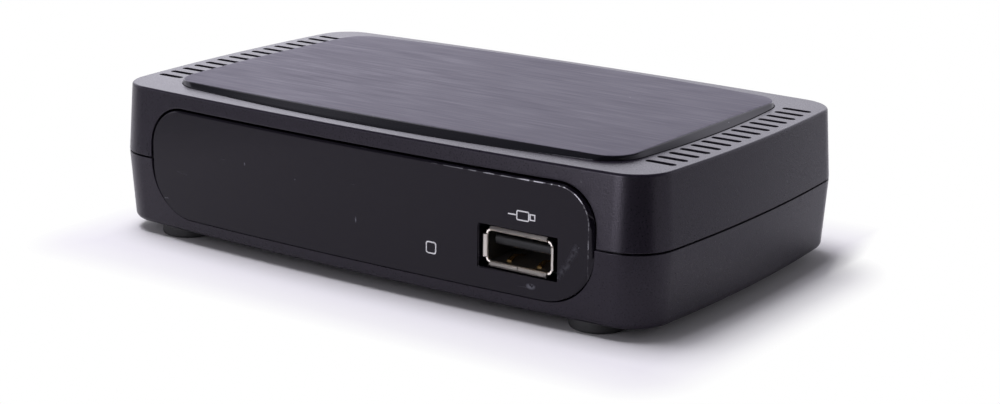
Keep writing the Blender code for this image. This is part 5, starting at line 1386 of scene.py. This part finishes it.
def light_the_world(scene):
    """White room whose upper part and right front are dim, as a product photographer flags them."""
    stage = scene.box_stage
    scene.world = bpy.data.worlds.new("studio")
    scene.world.use_nodes = True
    look = Finish("studio", scene.world.node_tree, "ShaderNodeOutputWorld")
    x, y, z = look.axes(of="Generated")
    turn = x.maths("ARCTAN2", x, 0.0 - y) / (2 * math.pi) + 0.5
    light = look.ramp(turn, *ROUND_THE_ROOM) * look.ramp(z, *UP_THE_ROOM) * stage.backdrop
    back = look.node("ShaderNodeBackground", {}, {"Color": tuple(stage.light), "Strength": light})
    look.show(back)


def floor_flag(name, corner, start, end, near, far, grey, soft):
    """Grey card on the floor, which only reflections see, to dim the box's reflections there. Bearings run
    from the front to the right.
    """
    mesh = bmesh.new()
    steps = 12
    loops = []
    for reach in (near, far):
        row = []
        for step in range(steps + 1):
            angle = math.radians(start) + (math.radians(end) - math.radians(start)) * step / steps
            row.append(mesh.verts.new((corner[0] + reach * math.sin(angle),
                                       corner[1] - reach * math.cos(angle), 0.0004)))
        loops.append(row)
    for index in range(steps):
        mesh.faces.new((loops[0][index], loops[0][index + 1], loops[1][index + 1], loops[1][index]))
    card = as_object(name, mesh)
    look = Finish(name)
    away = look.node("ShaderNodeVectorMath", {"operation": "DISTANCE"},
                     {0: look.node("ShaderNodeTexCoord", out="Object"), 1: (*corner, 0.0)}, "Value")
    card.data.materials.append(look.surface(
        Base_Color=(grey, grey, grey), Roughness=1.0, Specular_IOR_Level=0.0,
        Alpha=((away - near) / soft).clamped()))
    for kind in ("camera", "diffuse", "shadow", "transmission", "volume_scatter"):
        setattr(card, "visible_" + kind, False)


class BOX_OT_stage(bpy.types.Operator):
    """Floor, light and camera"""
    bl_idname = "streaming_box.stage"
    bl_label = "Stage"

    def execute(self, context):
        scene, stage = context.scene, context.scene.box_stage
        scene.view_settings.view_transform = "Standard"
        half = stage.floor_half
        mesh = bmesh.new()
        corners = [mesh.verts.new((x * half, y * half, 0.0)) for x, y in ((-1, -1), (1, -1), (1, 1), (-1, 1))]
        mesh.faces.new(corners)
        floor = as_object("floor", mesh)
        look = Finish("floor_white")
        kinds = [look.node("ShaderNodeLightPath", out=out)
                 for out in ("Is Camera Ray", "Is Glossy Ray", "Is Transmission Ray")]
        away = look.node("ShaderNodeVectorMath", {"operation": "LENGTH"},
                         {0: look.node("ShaderNodeTexCoord", out="Object")}, "Value")
        far = ((away - 0.14) / 0.30).clamped()
        x, y = look.axes("XY")
        right_edge, left_edge, back_edge, front_edge = 0.0625, -0.055, 0.036, -0.0425
        side_soft, back_soft, front_soft, step_in = 0.012, 0.018, 0.014, 0.020
        right, left = (x - right_edge) / side_soft, (left_edge - x) / side_soft
        beside = ((abs(x) - 0.0580) / 0.0060).clamped()
        back = (y - back_edge + step_in * beside) / back_soft
        front = (front_edge - y) / front_soft
        out_x = right.at_least(left)
        out_x = out_x.at_least(0.0)
        out_y = back.at_least(front)
        out_y = out_y.at_least(0.0)
        clear = ((out_x * out_x + out_y * out_y) ** 0.5).clamped()
        white = (kinds[0] * look.ramp(clear, (0.0, 0.0), (0.5, 0.36), (1.0, 1.0))
                 + (kinds[1] + kinds[2]) * far).clamped()
        pale = look.node("ShaderNodeBsdfPrincipled", {},
                         {"Base Color": (0.81, 0.80, 0.79), "Roughness": 0.6, "Specular IOR Level": 0.0})
        glow = look.node("ShaderNodeEmission", {}, {"Color": (1.0, 1.0, 1.0), "Strength": 1.0})
        both = look.node("ShaderNodeMixShader", {}, {0: white, 1: pale, 2: glow})
        look.show(both).cycles.emission_sampling = "NONE"
        floor.data.materials.append(look.material)

        light_the_world(scene)
        light = tuple(stage.light)
        lamps = [lamp(*values, light) for values in LAMPS]
        lamps[0].visible_glossy = False
        for softbox in lamps[1:]:
            softbox.visible_diffuse = False
        for values in FLOOR_FLAGS:
            floor_flag(*values)

        azimuth, elevation, roll = stage.azimuth, stage.elevation, stage.roll
        forward = Vector((-math.sin(azimuth) * math.cos(elevation), math.cos(azimuth) * math.cos(elevation),
                          -math.sin(elevation)))
        right = Vector((math.cos(azimuth), math.sin(azimuth), 0.0))
        up = right.cross(forward)
        side = math.cos(roll) * right + math.sin(roll) * up
        over = -math.sin(roll) * right + math.cos(roll) * up
        data = bpy.data.cameras.new("camera")
        data.sensor_width = 36.0
        data.sensor_fit = "HORIZONTAL"
        data.lens = stage.lens
        data.clip_start = 0.01
        data.clip_end = 50.0
        camera = bpy.data.objects.new("camera", data)
        camera.matrix_world = (Matrix.Translation(Vector(stage.place))
                               @ Matrix((side, over, -forward)).transposed().to_4x4())
        scene.collection.objects.link(camera)
        scene.camera = camera
        return {"FINISHED"}


STEPS = (BOX_OT_upper_housing, BOX_OT_lower_housing, BOX_OT_top_plate, BOX_OT_front_window, BOX_OT_front_port,
         BOX_OT_printed_marks, BOX_OT_feet, BOX_OT_rear_sockets, BOX_OT_inside, BOX_OT_stage)


class BOX_PT_panel(bpy.types.Panel):
    """Lists the pieces and their sizes"""
    bl_idname = "BOX_PT_panel"
    bl_label = "Streaming box"
    bl_space_type = "VIEW_3D"
    bl_region_type = "UI"
    bl_category = "Streaming box"

    def draw(self, context):
        for step in STEPS:
            self.layout.operator(step.bl_idname)
        for name, group in SETTINGS.items():
            box = self.layout.box()
            box.label(text=(group.__doc__ or name).strip())
            for key in group.__annotations__:
                box.prop(getattr(context.scene, name), key)


def register():
    """Register the settings, the operators and the panel."""
    for kind in (*SETTINGS.values(), *STEPS, BOX_PT_panel):
        bpy.utils.register_class(kind)
    for name, group in SETTINGS.items():
        setattr(bpy.types.Scene, name, bpy.props.PointerProperty(type=group))


def unregister():
    """Undo register."""
    for name in SETTINGS:
        delattr(bpy.types.Scene, name)
    for kind in (BOX_PT_panel, *reversed(STEPS), *reversed(list(SETTINGS.values()))):
        bpy.utils.unregister_class(kind)


def main():
    register()
    for step in STEPS:
        module, name = step.bl_idname.split(".")
        getattr(getattr(bpy.ops, module), name)()


if __name__ == "__main__":
    main()
